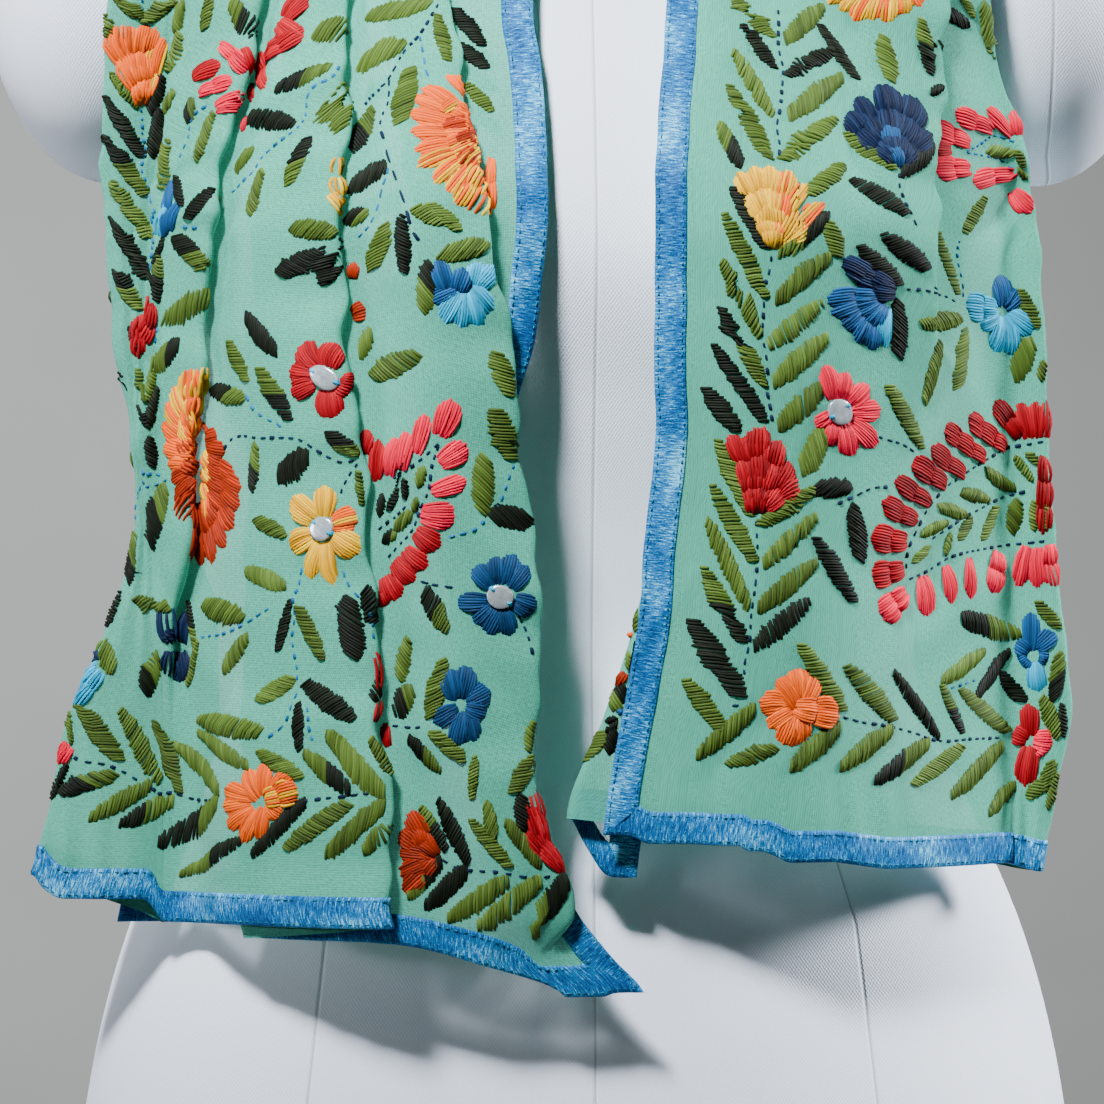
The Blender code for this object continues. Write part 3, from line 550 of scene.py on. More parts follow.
@dataclass
class DressForm:
    """Limbless form: padded torso, short capped neck and arm stubs, sewn into a cotton cover."""
    shape: FormShape
    finish: CottonCover = CottonCover()
    columns: int = 240
    rows: int = 200
    heights: tuple[float, ...] = (0, 4, 40, 90, 140, 188, 228, 258, 288, 318, 350, 380, 405, 430, 450, 461.1,
                                  462.2, 465, 471, 484, 506, 534, 560, 577, 589, 598, 605, 611, 618, 626, 636,
                                  648, 662, 690, 699, 703.4)
    crowd: float = 0.24          # gathers the columns towards the front and the back
    edge: tuple[float, float] = (3.0, 4.0)      # depth and height of the rounded lower edge
    # seam lines: heights, then distances out at those heights; the flank seam lies at one depth
    princess_front: tuple[tuple[float, ...], ...] = ((0, 130, 200, 285, 430, 600), (104, 100, 92, 66, 74, 96))
    princess_back: tuple[tuple[float, ...], ...] = ((0, 120, 285, 430, 600), (92, 92, 58, 76, 92))
    armhole: tuple[tuple[float, ...], ...] = ((455, 470, 534, 590, 612), (172, 167, 166, 163, 158))
    flank: float = 6.0
    collar: float = 646.0        # height of the seam round the neck
    no_seam: float = 50.0        # distance given where a seam doesn't run

    def seams(self, points: Array) -> Array:
        """Signed distance of each point to the panel seams.

        The first is the middle seam, the second the princess seams, which run from the hips over the
        bust to the shoulders, and the third the armholes, the side seams and the collar.

        Args:
            points: places on the cover.
        Returns:
            Three distances per point.
        """
        x, y, z = points.T
        side = np.abs(x)
        princess = np.where(y < 0, np.interp(z, *self.princess_front), np.interp(z, *self.princess_back))
        flank = np.where(z < 462, y - self.flank, self.no_seam)
        joint = np.where((z > 458) & (side > 120), side - np.interp(z, *self.armhole),
                         np.where(side > 60, flank, self.no_seam))
        collar = np.where(np.hypot(x, y) < 90, z - self.collar - 0.25 * y, self.no_seam)
        third = np.where(np.abs(collar) < 12, collar, joint)
        middle = np.where(z < 700, x, self.no_seam)
        return np.stack([middle, side - princess, third], -1)

    def stub(self, side: int, turns: int = 64, rings: int = 44) -> Array:
        """Closed arm stub: an ellipsoid on a grid of rings round its upright axis.

        Args:
            side: -1 or 1.
            turns: points round each ring.
            rings: rings from the bottom to the top.
        Returns:
            Grid of points.
        """
        lift = np.linspace(-np.pi / 2 + 0.01, np.pi / 2 - 0.01, rings)[:, None]
        turn = np.linspace(0, 2 * np.pi, turns, endpoint=False)[None, :]
        ball = np.stack(np.broadcast_arrays(np.cos(lift) * np.cos(turn), np.cos(lift) * np.sin(turn),
                                            np.sin(lift)), -1)
        return ball * self.shape.stub_half + np.array(self.shape.stub_centre) * (side, 1, 1)

    @staticmethod
    def cloth(shell: Array) -> Array:
        """Texture position on the cover in metres: way round from the first column, and height.

        The way round is one middling ring's, so that the floats run upright, a little closer at the
        waist.  Corners past the closing column go on counting instead of falling back to nought.

        Args:
            shell: grid of closed rings.
        Returns:
            Two numbers per corner of the shell's quads.
        """
        ring = shell[len(shell) // 3]
        way = np.concatenate([[0], np.cumsum(np.linalg.norm(np.diff(ring, axis=0, append=ring[:1]), axis=1))])
        place = np.stack(np.broadcast_arrays(way[None, :-1], shell[..., 2]), -1).reshape(-1, 2)
        corners = place[quads_of(*shell.shape[:2], True)]
        u = corners[..., 0]
        wraps = (np.ptp(u, axis=1)[:, None] > way[-1] / 2) & (u < way[-1] / 2)
        corners[..., 0] = u + wraps * way[-1]
        return corners.reshape(-1, 2) * 0.001

    def build(self) -> bpy.types.Object:
        """Polar grid of trunk and neck, closed by a flat ring below and a small cap above, and two stubs."""
        even = np.linspace(0, 2 * np.pi, self.columns, endpoint=False)
        angle = even - self.crowd * np.sin(2 * even)
        steps = np.linspace(0, len(self.heights) - 1, self.rows)
        z = np.interp(steps, range(len(self.heights)), self.heights)
        a, z = np.meshgrid(angle, z)
        r = self.shape.radius(a, z, True)
        deep, tall = self.edge
        r -= deep * (1 - np.sqrt(np.clip(1 - (1 - np.minimum(z, tall) / tall)**2, 0, 1)))
        ring = np.stack([r * np.cos(a), r * np.sin(a), z], -1)
        inner = [ring[:1] * (f, f, 1) for f in (0.0005, 0.3, 0.65, 0.9)]
        lid = [ring[-1:] * (f, f, 1) + (0, 0, 0.2 * (1 - f)) for f in (0.7, 0.3, 0.002)]
        grid = np.concatenate(inner + [ring] + lid)
        shells = [grid, self.stub(-1), self.stub(1)]
        points = np.concatenate([shell.reshape(-1, 3) for shell in shells])
        uv = np.concatenate([self.cloth(shell) for shell in shells])
        first = np.cumsum([0] + [shell[..., 0].size for shell in shells])
        quads = np.concatenate([quads_of(*shell.shape[:2], True) + at for shell, at in zip(shells, first)])
        piece = make_piece("form_cover", points, quads, self.finish.material(), uv,
                           {"seams": self.seams(points)})
        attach(piece, "root")
        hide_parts("dress_form")
        return piece


# ---- the surface that the cloth lies on -----------------------------------------------------------
@dataclass
class DrapeBed:
    """Smooth surface of the form as cloth meets it, swept round an axis at bust height."""
    shape: FormShape
    bust: float = 435.0
    drop: float = 2.4            # height lost per degree of sweep below the bust
    top: float = 654.0           # no surface above this height
    clear: float = 0.5           # distance kept from the form
    across: Array = field(default_factory=lambda: np.linspace(-215, 215, 87))
    turn: Array = field(default_factory=lambda: np.radians(np.linspace(-90, 90, 73)))

    @staticmethod
    def soften(values: Array, times: int) -> Array:
        """Average a table with its neighbours.

        Args:
            values: the table.
            times: how often.
        Returns:
            The softened table.
        """
        for _ in range(times):
            q = np.pad(values, 1, mode="edge")
            values = (q[1:-1, 1:-1] * 2 + q[:-2, 1:-1] + q[2:, 1:-1]) / 4
            q = np.pad(values, 1, mode="edge")
            values = (q[1:-1, 1:-1] * 2 + q[1:-1, :-2] + q[1:-1, 2:]) / 4
        return values

    def __post_init__(self) -> None:
        """Reach of the surface per distance across and sweep angle; it never goes back in again."""
        rho = np.arange(0, 262, 1.0)
        x, p, r = np.meshgrid(self.across, self.turn, rho, indexing="ij")
        y, z = r * np.sin(p), self.bust + r * np.cos(p)
        edge = np.where(z < self.top, self.shape.radius(np.arctan2(y, x), np.minimum(z, self.top), False), 0)
        radius = np.where(np.hypot(x, y) <= edge, r, 0).max(2)
        mid = len(self.turn) // 2
        s = np.abs(np.sin(self.turn))
        reach = radius * s
        front = np.maximum.accumulate(reach[:, :mid + 1][:, ::-1], 1)[:, ::-1]
        back = np.maximum.accumulate(reach[:, mid:], 1)
        reach = np.concatenate([front[:, :-1], back], 1)
        raw = np.maximum(np.where(s > 0.05, reach / np.maximum(s, 1e-6), radius), radius) + self.clear
        soft = self.soften(raw, 6)
        short = np.maximum(raw - soft, 0)
        q = np.pad(short, 1, mode="edge")
        for dx in (0, 1, 2):
            for dq in (0, 1, 2):
                short = np.maximum(short, q[dx:dx + short.shape[0], dq:dq + short.shape[1]])
        self.table = soft + self.soften(short, 3)

    def point(self, x: Array, q: Array) -> Array:
        """Point at distance x across and q degrees of sweep; below the bust it hangs straight down.

        Args:
            x: distance across.
            q: sweep in degrees.
        Returns:
            Points.
        """
        turn = np.radians(np.clip(q, -90, 90))
        r = bilinear(self.table, (x - self.across[0]) / (self.across[1] - self.across[0]),
                     (turn - self.turn[0]) / (self.turn[1] - self.turn[0]))
        fall = np.maximum(-90 - q, 0) * self.drop
        return np.stack([x, r * np.sin(turn), self.bust + r * np.cos(turn) - fall], -1)

    def normal(self, x: Array, q: Array) -> Array:
        """Outward direction, from points a few millimetres apart.

        Args:
            x: distance across.
            q: sweep in degrees.
        Returns:
            Unit directions.
        """
        a = self.point(x + 6, q) - self.point(x - 6, q)
        b = self.point(x, q + 2) - self.point(x, q - 2)
        n = np.cross(b, a)
        return -n / np.linalg.norm(n, axis=-1, keepdims=True)


# ---- the cloth ------------------------------------------------------------------------------------
@dataclass
class FoldPlan:
    """Cross-sections of the folded cloth, station by station from the left hem to the right hem.

    A section is a cubic spline through controls (distance out, level); a fold is five controls on a
    half circle.
    """
    bed: DrapeBed
    ribbon: float = 11.0
    wrong_gap: float = 2.0
    right_gap: float = 2.6
    bound_gap: float = 4.8
    fold_gap: float = 3.0
    lowest: float = 1.2
    band_clear: float = 3.0
    neck_reach: float = 200.0    # round the neck the selvages stand at sweeps that grow with this
    fan: float = 52.0            # and the outer fold leans this many degrees at most
    crest: tuple[float, float] = (1.9, 0.75)    # rise of a closed fold's edge, and share of its sway added
    least_crest: float = 0.2
    # creases: seed, number, ranges of distance out, sweep, half width and half length, spread of their
    # direction and steepness, and the least and greatest height of their sum
    crease_seed: int = 23
    crease_count: int = 300
    crease_out: tuple[float, float] = (5, 180)
    crease_sweep: tuple[float, float] = (-205, 385)
    crease_wide: tuple[float, float] = (3.0, 9.0)
    crease_long: tuple[float, float] = (14, 48)
    crease_turn: float = 0.5
    crease_steep: float = 0.13
    crease_limits: tuple[float, float] = (-1.7, 3.2)
    # uneven sway of fold edges: size and length of each sine
    sway: tuple[tuple[float, float], ...] = ((0.9, 17.0), (0.85, 9.5), (0.65, 5.3), (0.4, 3.1))
    names: tuple[str, ...] = tuple(
        "sweep near p3 u3 k3 p2 u2 k2 p1 u1 k1 r ur kr outline tail turn tuck".split())
    stations: Array = field(default_factory=lambda: np.array([
        (-198, -17, 8.0, 5, .0, 66.3, 46, 1, 140.0, 3, .0, 168, 3, 0, 191.8, 147, 19, 6.2),
        (-192, -5, 17.0, 5, .1, 66.3, 46, 1, 140.0, 3, .0, 168, 3, 0, 191.8, 147, 19, 6.2),
        (-186, 7.8, 10.0, 15, .8, 66.7, 47, 1, 140.0, 3, .0, 168, 3, 0, 191.6, 145, 19, 6.2),
        (-172, 23.2, 20.8, 19, 1, 68.0, 46, 1, 139.3, 3, .0, 166, 3, 0, 185.8, 135, 19, 6.2),
        (-158, 26.6, 23.6, 25, 1, 71.9, 43, 1, 138.2, 3, .2, 162, 3, 0, 179.1, 128, 19, 5.0),
        (-144, 26.5, 22.0, 30, 1, 72.3, 42, 1, 135.4, 9, 1, 154, 3, 0, 167.8, 128, 15, 5.0),
        (-130, 29.0, 24.8, 32, 1, 74.2, 38, 1, 129.7, 22, 1, 149, 3, 0, 160.0, 138, 15, 5.0),
        (-116, 30.4, 28.4, 33, 1, 78.4, 36, 1, 127.8, 27, 1, 150, 3, 0, 160.8, 141, 15, 5.0),
        (-103, 22.3, 33.2, 28, 1, 80.5, 32, 1, 124.4, 26, 1, 152, 3, 0, 166.8, 146, 15, 5.0),
        (-90, 19.0, 38.4, 24, 1, 81.7, 29, 1, 122.9, 26, 1, 152, 3, 0, 168.6, 142, 15, 5.0),
        (-80, 18.0, 40.8, 24, 1, 82.0, 28, 1, 121.3, 26, 1, 152, 3, 0, 169.1, 138, 15, 5.0),
        (-70, 18.0, 43.1, 23, 1, 81.3, 27, 1, 118.5, 26, 1, 152, 3, 0, 169.6, 134, 15, 5.0),
        (-60, 19.2, 46.4, 22, 1, 80.9, 24, 1, 114.6, 25, 1, 152, 3, 0, 170.0, 130, 15, 5.0),
        (-50, 20.7, 48.8, 22, 1, 80.8, 21, 1, 110.2, 24, 1, 151, 3, 0, 170.2, 124, 15, 5.4),
        (-42, 21.0, 49.5, 21, 1, 80.8, 20, 1, 109.0, 23, 1, 150, 3, 0, 169.5, 116, 22, 6.0),
        (-28, 28.0, 54.0, 19, 1, 82.0, 18, 1, 108.5, 23, 1, 149, 3, 0, 167.0, 92, 38, 7.0),
        (-14, 48.0, 66.0, 12, .5, 88.0, 13, .5, 111.0, 24, 1, 148, 3, 0, 165.0, 64, 66, 7.0),
        (0, 70.0, 88.0, 4, .0, 103.0, 4, .0, 120.0, 24, 1, 150, 3, 0, 163.0, 72, 88, 7.0),
        (30, 72.0, 90.0, 3, .0, 106.0, 3, .0, 122.0, 20, 1, 154, 6, .3, 170.0, 74, 70, 7.0),
        (60, 75.0, 93.0, 3, .0, 108.0, 3, .0, 124.0, 17, 1, 156, 13, .9, 172.0, 77, 84, 7.0),
        (90, 78.0, 93.0, 3, .0, 109.0, 3, .0, 120.0, 20, 1, 160, 25, 1, 174.0, 80, 88, 7.0),
        (120, 75.0, 90.0, 3, .0, 103.0, 3, .0, 114.0, 14, 1, 154, 20, 1, 168.0, 77, 74, 7.0),
        (150, 72.0, 86.0, 3, .0, 97.0, 3, .0, 108.0, 8, .7, 146, 22, 1, 158.0, 75, 62, 7.0),
        (180, 72.0, 82.0, 3, .0, 92.0, 3, .0, 102.0, 5, .2, 137, 27, 1, 148.0, 75, 68, 7.0),
        (194, 50.0, 64.0, 3, .0, 75.0, 3, .0, 87.0, 4, .0, 129, 25, 1, 140.0, 55, 78, 7.0),
        (208, 32.0, 50.0, 3, .0, 66.0, 3, .0, 80.0, 3, .0, 122, 21, 1, 136.5, 38, 90, 7.0),
        (222, 24.9, 44.0, 3, .0, 62.0, 3, .0, 80.0, 3, .0, 117.3, 16, 1, 143.0, 33, 88, 7.0),
        (230, 24.4, 43.0, 3, .0, 61.0, 3, .0, 79.0, 3, .0, 114.6, 15, 1, 152.8, 33, 80, 7.0),
        (240, 23.1, 42.0, 3, .0, 60.0, 3, .0, 78.0, 3, .0, 114.1, 14, 1, 156.5, 31, 72, 7.0),
        (250, 20.6, 40.0, 3, .0, 58.0, 3, .0, 76.0, 3, .0, 112.1, 13, 1, 158.2, 29, 68, 7.0),
        (260, 20.1, 39.0, 3, .0, 57.0, 3, .0, 75.0, 3, .0, 109.5, 12, 1, 159.9, 28, 65, 7.0),
        (270, 20.1, 39.0, 3, .0, 57.0, 3, .0, 75.0, 3, .0, 108.3, 10, 1, 161.9, 27, 64, 7.0),
        (283, 20.2, 39.0, 3, .0, 57.0, 3, .0, 75.0, 3, .0, 108.0, 7, .7, 162.2, 26, 64, 7.0),
        (296, 20.2, 39.0, 3, .0, 57.0, 3, .0, 75.0, 3, .0, 108.7, 4, .1, 163.7, 25, 64, 7.0),
        (310, 17.1, 37.0, 3, .0, 56.0, 3, .0, 75.0, 3, .0, 109.0, 3, .0, 165.3, 20, 57, 7.0),
        (324, 14.4, 35.0, 3, .0, 55.0, 3, .0, 75.0, 3, .0, 110.0, 3, .0, 168.1, 12.8, 48, 7.0),
        (338, 8.5, 31.0, 3, .0, 53.0, 3, .0, 75.0, 3, .0, 110.0, 3, .0, 169.8, 1.4, 36, 7.0),
        (352, 1.9, 27.0, 3, .0, 50.0, 3, .0, 73.0, 3, .0, 108.0, 3, .0, 165.3, -11.5, 28, 7.0),
        (366, .2, 26.0, 3, .0, 49.0, 3, .0, 72.0, 3, .0, 107.0, 3, .0, 159.7, -13, 26, 7.0),
        (378, .2, 26.0, 3, .0, 49.0, 3, .0, 72.0, 3, .0, 107.0, 3, .0, 159.0, -13, 26, 7.0)], float))
    # height of each hem at the near selvage, p3, hidden p2, p2, p1, outline, tail and far selvage
    hem_left: tuple[float, ...] = (178.0, 176.5, 195.6, 200.5, 199.7, 215.8, 199.5, 199.5)
    hem_right: tuple[float, ...] = (232.0, 229.0, 228.5, 226.5, 222.5, 216.5, 237.5, 217.0)
    # soft waves common to all layers: sweep from, sweep to, distance out at both ends, width, height
    waves: tuple[tuple[float, ...], ...] = (
        (-198, -130, 128, 134, 12, -3.5), (-198, -120, 160, 148, 18, 2.0), (-198, -150, 40, 46, 16, 2.0),
        (-198, -150, 92, 96, 18, -1.5), (296, 378, 48, 44, 20, 2.5), (300, 378, 84, 92, 18, -2.0),
        (310, 378, 128, 120, 20, 2.0), (222, 300, 66, 70, 22, 1.5))
    # small gathers over the hems: sweep, distance out, reach in sweep, number, pitch, height
    gathers: tuple[tuple[float, ...], ...] = (
        (356, 158, 6, 5, 7.6, 0.8), (352, 92, 5, 3, 11.0, 0.6), (-188, 90, 6, 4, 9.0, 0.6),
        (-180, 178, 8, 3, 9.5, 0.7))

    def wander(self, sweep: Array, phase: float) -> Array:
        """Uneven sway along a fold: sines of odd lengths added up.

        Args:
            sweep: where along the shawl.
            phase: sets one fold apart from the next.
        Returns:
            Sway in millimetres.
        """
        length = sweep * self.bed.drop
        return sum(a * np.sin(length / part + phase * (k + 1.7)) for k, (a, part) in enumerate(self.sway))

    def station(self, sweep: Array) -> dict[str, Array]:
        """Read each column of the station table by a monotone cubic.

        Args:
            sweep: where along the shawl.
        Returns:
            One array per column name.
        """
        t = self.stations[:, 0]
        h = np.diff(t)
        i = np.clip(np.searchsorted(t, sweep, side="right") - 1, 0, len(t) - 2)
        u = (sweep - t[i]) / h[i]
        out = {}
        for k, name in enumerate(self.names[1:], 1):
            v = self.stations[:, k]
            d = np.diff(v) / h
            m = np.zeros(len(t))
            same = d[:-1] * d[1:] > 0
            w1, w2 = 2 * h[1:] + h[:-1], h[1:] + 2 * h[:-1]
            safe0, safe1 = np.where(same, d[:-1], 1), np.where(same, d[1:], 1)
            m[1:-1] = np.where(same, (w1 + w2) / (w1 / safe0 + w2 / safe1), 0)
            out[name] = hermite(u, h[i], (v[i], v[i + 1]), (m[i], m[i + 1]))
        return out

    def controls(self, sweep: Array) -> tuple[Array, Array, Array]:
        """Control polygon of each section.

        Args:
            sweep: where along the shawl.
        Returns:
            Distance out and level of each control, and each control's place in the hem table.
        """
        st = self.station(sweep)
        swaying = (("p3", 1.0), ("p2", 1.0), ("p1", 1.0), ("r", 1.0), ("near", 0.2), ("outline", 0.4))
        for phase, (name, share) in enumerate(swaying):
            st[name] = st[name] + share * self.wander(sweep, 1.3 * phase)
        out, level, hem_at = [], [], []
        tuck = st["tuck"]
        base = tuck + self.fold_gap
        near_hem = np.clip((np.abs(sweep - 90) - 244) / 12, 0, 1)
        gap2 = lerp(self.right_gap, self.bound_gap, near_hem)
        gap3 = np.where(sweep < 0, np.interp(sweep, (-90, -70), (self.bound_gap, self.right_gap)), gap2)
        rib = self.ribbon

        def bulge(closed: Array, phase: float) -> Array:
            """How far a fold's edge rises, more and less along the fold."""
            rise = closed * (self.crest[0] + self.crest[1] * self.wander(sweep, phase))
            return np.maximum(rise, self.least_crest * closed)

        def put(w: Array, d: Array, h: float) -> None:
            """Add one control."""
            out.append(w + 0 * sweep)
            level.append(d + 0 * sweep)
            hem_at.append(h)

        def line(w0: Array, d0: Array, w1: Array, d1: Array, h0: float, h1: float, count: int) -> None:
            """Add controls evenly between two places."""
            for k in range(1, count + 1):
                f = k / (count + 1)
                put(lerp(w0, w1, f), lerp(d0, d1, f), lerp(h0, h1, f))

        def turn(tip: Array, d0: Array, d1: Array, way: float, flat_w: Array, flat_d: Array, closed: Array,
                 h: float, step: Array | float = 1.1) -> None:
            """Add a fold: five controls on a half circle, or in a flat row where it is open."""
            r = np.abs(d1 - d0) / 2
            for k in range(5):
                a = np.radians(-90 + 45 * k)
                w = tip - way * r * (1 - np.cos(a))
                d = (d0 + d1) / 2 + (d1 - d0) / 2 * np.sin(a) * 1.06
                put(lerp(flat_w + (k - 2) * step, w, closed), lerp(flat_d, d, closed), h)

        for k in (0, 0.5, 1):
            put(st["near"] + rib * k, base, 0.0)
        last_w, last_d, last_h = st["near"] + rib, base, 0.0
        pleats = (("p3", "u3", "k3", gap3, 1.0, 1.0, 1), ("p2", "u2", "k2", gap2, 2.0, 3.0, 3),
                  ("p1", "u1", "k1", gap2, 4.0, 4.0, 3))
        for edge, under, shut, gap, h_under, h_edge, count in pleats:
            w, k = st[edge], st[shut]
            hidden = w + st[under]
            d1, d2 = base + gap, base + gap + self.wrong_gap
            if count > 2:
                put(last_w, last_d, lerp(last_h, h_under, 0.3))
            first = np.maximum(lerp(w - 9, w - 2, k), st["near"] + rib + 1)
            line(last_w, last_d, first, base, lerp(last_h, h_under, 0.3), h_under, 1)
            put(first, base, h_under)
            put(np.maximum(lerp(w - 7, (w + hidden) / 2, k), first + 1), base, h_under)
            turn(hidden, base, d1, 1, w - 3.5, base, k, h_under)
            line(hidden - gap / 2, d1, w + 1, d1, h_under, h_edge, 1)
            out[-1] = lerp(w, out[-1], k)
            level[-1] = lerp(base, level[-1], k)
            turn(w, d1, d2 + bulge(k, 2.1 * h_edge), -1, w + 3.5, base, k, h_edge)
            last_w, last_d, last_h = lerp(w + 9, hidden + 3, k), lerp(base, d2, k), h_edge
        w, k = st["r"], st["kr"]
        hidden = w - st["ur"]
        d1, d2 = base + gap2, base + gap2 + self.wrong_gap
        middle, pitch = (last_w + st["outline"]) / 2, (st["outline"] - 1 - last_w) / 18
        over = last_d - base          # the panel above slopes down to the outer edge

        def slope(steps: float) -> Array:
            """Level in the open row, counted in pitches from its middle."""
            return base + over * np.clip((9 - steps) / 18, 0, 1)

        put(last_w, last_d, 4.1)
        line(last_w, last_d, lerp(middle - 6 * pitch, hidden - 3, k), lerp(slope(-6), d2, k), 4.1, 4.5, 2)
        put(lerp(middle - 6 * pitch, hidden - 3, k), lerp(slope(-6), d2, k), 4.5)
        turn(w, d2 + bulge(k, 5.2), d1, 1, middle - 3 * pitch, slope(-3), k, 4.5, pitch)
        put(lerp(middle, (w + hidden) / 2, k), lerp(slope(0), d1, k), 4.5)
        turn(hidden, d1, base, -1, middle + 3 * pitch, slope(3), k, 4.5, pitch)
        line(lerp(middle + 6 * pitch, hidden + 2, k), lerp(slope(6), base, k), st["outline"] - 1, base,
             4.5, 5.0, 2)
        turn(st["outline"], base, tuck, 1, 0, 0, 1, 5.0)
        tail = st["tail"]
        line(st["outline"] - 1, tuck, tail + (tuck - self.lowest) / 2, tuck, 5.0, 6.0, 7)
        turn(tail, tuck, self.lowest, -1, tail, tuck, 1, 6.0)
        far = tail + st["turn"]
        line(tail + 1, self.lowest, far - rib, self.lowest, 6.0, 7.0, 2)
        for f in (1, 0.5, 0):
            put(far - rib * f, self.lowest, 7.0)
        clear = self.band_clear * np.clip((115 - np.abs(sweep - 90)) / 15 + 0.9, 0, 1)
        return np.stack(out, -1), np.stack(level, -1) + clear[:, None], np.array(hem_at)

    @staticmethod
    def weights(u: Array, count: int) -> Array:
        """Cubic B-spline weight of each control, with both ends held.

        Args:
            u: section positions, 0 at the first control.
            count: number of controls.
        Returns:
            One row of weights per position.
        """
        full = np.zeros((len(u), count + 2))
        i = np.clip(np.floor(u).astype(int), 0, count - 2)
        f = u - i
        rows = np.arange(len(u))
        for k, w in enumerate(((1 - f)**3, 3 * f**3 - 6 * f**2 + 4, -3 * f**3 + 3 * f**2 + 3 * f + 1, f**3)):
            full[rows, i + k] += w / 6
        out = full[:, 1:-1].copy()
        out[:, 0] += 2 * full[:, 0]
        out[:, 1] -= full[:, 0]
        out[:, -1] += 2 * full[:, -1]
        out[:, -2] -= full[:, -1]
        return out

    def wave_height(self, w: Array, sweep: Array) -> Array:
        """Sum of the soft waves, each a bell-shaped ridge along the cloth.

        A wave that starts at a hem dies out towards its other end, and one that reaches no hem dies out
        at both.

        Args:
            w: distance out.
            sweep: where along the shawl.
        Returns:
            Height added to every layer.
        """
        total = np.zeros(np.broadcast(w, sweep).shape)
        for start, stop, w0, w1, width, height in self.waves:
            f = np.clip((sweep - start) / (stop - start), 0, 1)
            rise = 1 - f if start < 0 else f if stop == self.stations[-1, 0] else np.sin(np.pi * f)
            gate = (sweep >= start) & (sweep <= stop)
            total += gate * height * rise * np.exp(-((w - lerp(w0, w1, f)) / width)**2)
        return total

    def creases(self, w: Array, sweep: Array) -> Array:
        """Small uneven ridges and dents: each a bell across and a longer bell along its own line.

        Args:
            w: distance out.
            sweep: where along the shawl.
        Returns:
            Height added to every layer.
        """
        rng, count = np.random.default_rng(self.crease_seed), self.crease_count
        length = sweep * self.bed.drop
        total = np.zeros(w.shape)
        lots = zip(rng.uniform(*self.crease_out, count),
                   rng.uniform(*self.crease_sweep, count) * self.bed.drop,
                   rng.normal(0, self.crease_turn, count), rng.uniform(*self.crease_wide, count),
                   rng.uniform(*self.crease_long, count), rng.normal(0, self.crease_steep, count))
        for w0, l0, turn, wide, long, steep in lots:
            near = np.abs(length - l0) < 2.6 * long + 20
            dw, dl = w[near] - w0, length[near] - l0
            across = dw * np.cos(turn) + dl * np.sin(turn)
            along = dl * np.cos(turn) - dw * np.sin(turn)
            total[near] += steep * wide * np.exp(-(across / wide)**2 - (along / long)**2)
        for mark, middle, wide, count_of, pitch, size in self.gathers:
            window = np.exp(-((sweep - mark) / wide)**2) * np.exp(-((w - middle) / (pitch * count_of / 2))**4)
            total += size * window * np.sin(2 * np.pi * (w - middle) / pitch)
        return np.clip(total, *self.crease_limits)

    def place(self, w: Array, level: Array, sweep: Array) -> Array:
        """Lay section points on the bed: along the falls by distance out, round the neck by fans.

        Args:
            w: distance out.
            level: height above the bed.
            sweep: where along the shawl.
        Returns:
            Points in space.
        """
        st = self.station(sweep)
        inner, outer = st["near"], st["outline"]
        f = (w - inner) / (outer - inner)
        turn = np.radians(np.clip(sweep, 0, 180))
        side = np.where(sweep < 90, -1.0, 1.0)
        q_fall = np.where(sweep < 90, np.minimum(sweep, 0), np.minimum(180 - sweep, 0))
        x_in, x_out = -inner * np.cos(turn), -outer * np.cos(turn)
        inward = (inner + self.bed.shape.neck_back) * np.sin(turn) / self.neck_reach
        q_in = np.degrees(np.arcsin(np.clip(inward, -1, 1)))
        fall = (sweep <= 0) | (sweep >= 180)
        x = np.where(fall, side * w, lerp(x_in, x_out, f))
        q = np.where(fall, q_fall, lerp(q_in, self.fan * np.sin(turn), f))
        rise = level + self.wave_height(w, sweep) + self.creases(w, sweep)
        return self.bed.point(x, q) + rise[..., None] * self.bed.normal(x, q)

    def grid(self, u: Array, v: tuple[Array, Array, Array]) -> tuple[Array, Array]:
        """Middle surface of the cloth.

        Args:
            u: section positions, one per column.
            v: row shares from the left hem to the left shoulder, round the neck, and from the right
                shoulder to the right hem, each rising from 0 to 1.
        Returns:
            Points and sweeps, one row per row share and one column per position.
        """
        probe = np.arange(-204.0, 384.5, 1.0)
        out, level, hem_at = self.controls(probe)
        weights = self.weights(u, out.shape[1])
        out, level, at = out @ weights.T, level @ weights.T, weights @ hem_at
        ends = [90 + (self.bed.bust - np.interp(at, range(8), h)) / self.bed.drop
                for h in (self.hem_left, self.hem_right)]
        sweep = np.concatenate([-ends[0] * (1 - v[0][:, None]), 180 * v[1][:, None] + 0 * ends[0],
                                180 + ends[1] * v[2][:, None]])
        pos = np.clip(sweep - probe[0], 0, len(probe) - 1.001)
        i = pos.astype(int)
        f = pos - i
        col = np.arange(len(u))[None, :]
        w = lerp(out[i, col], out[i + 1, col], f)
        d = lerp(level[i, col], level[i + 1, col], f)
        return self.place(w, d, sweep), sweep


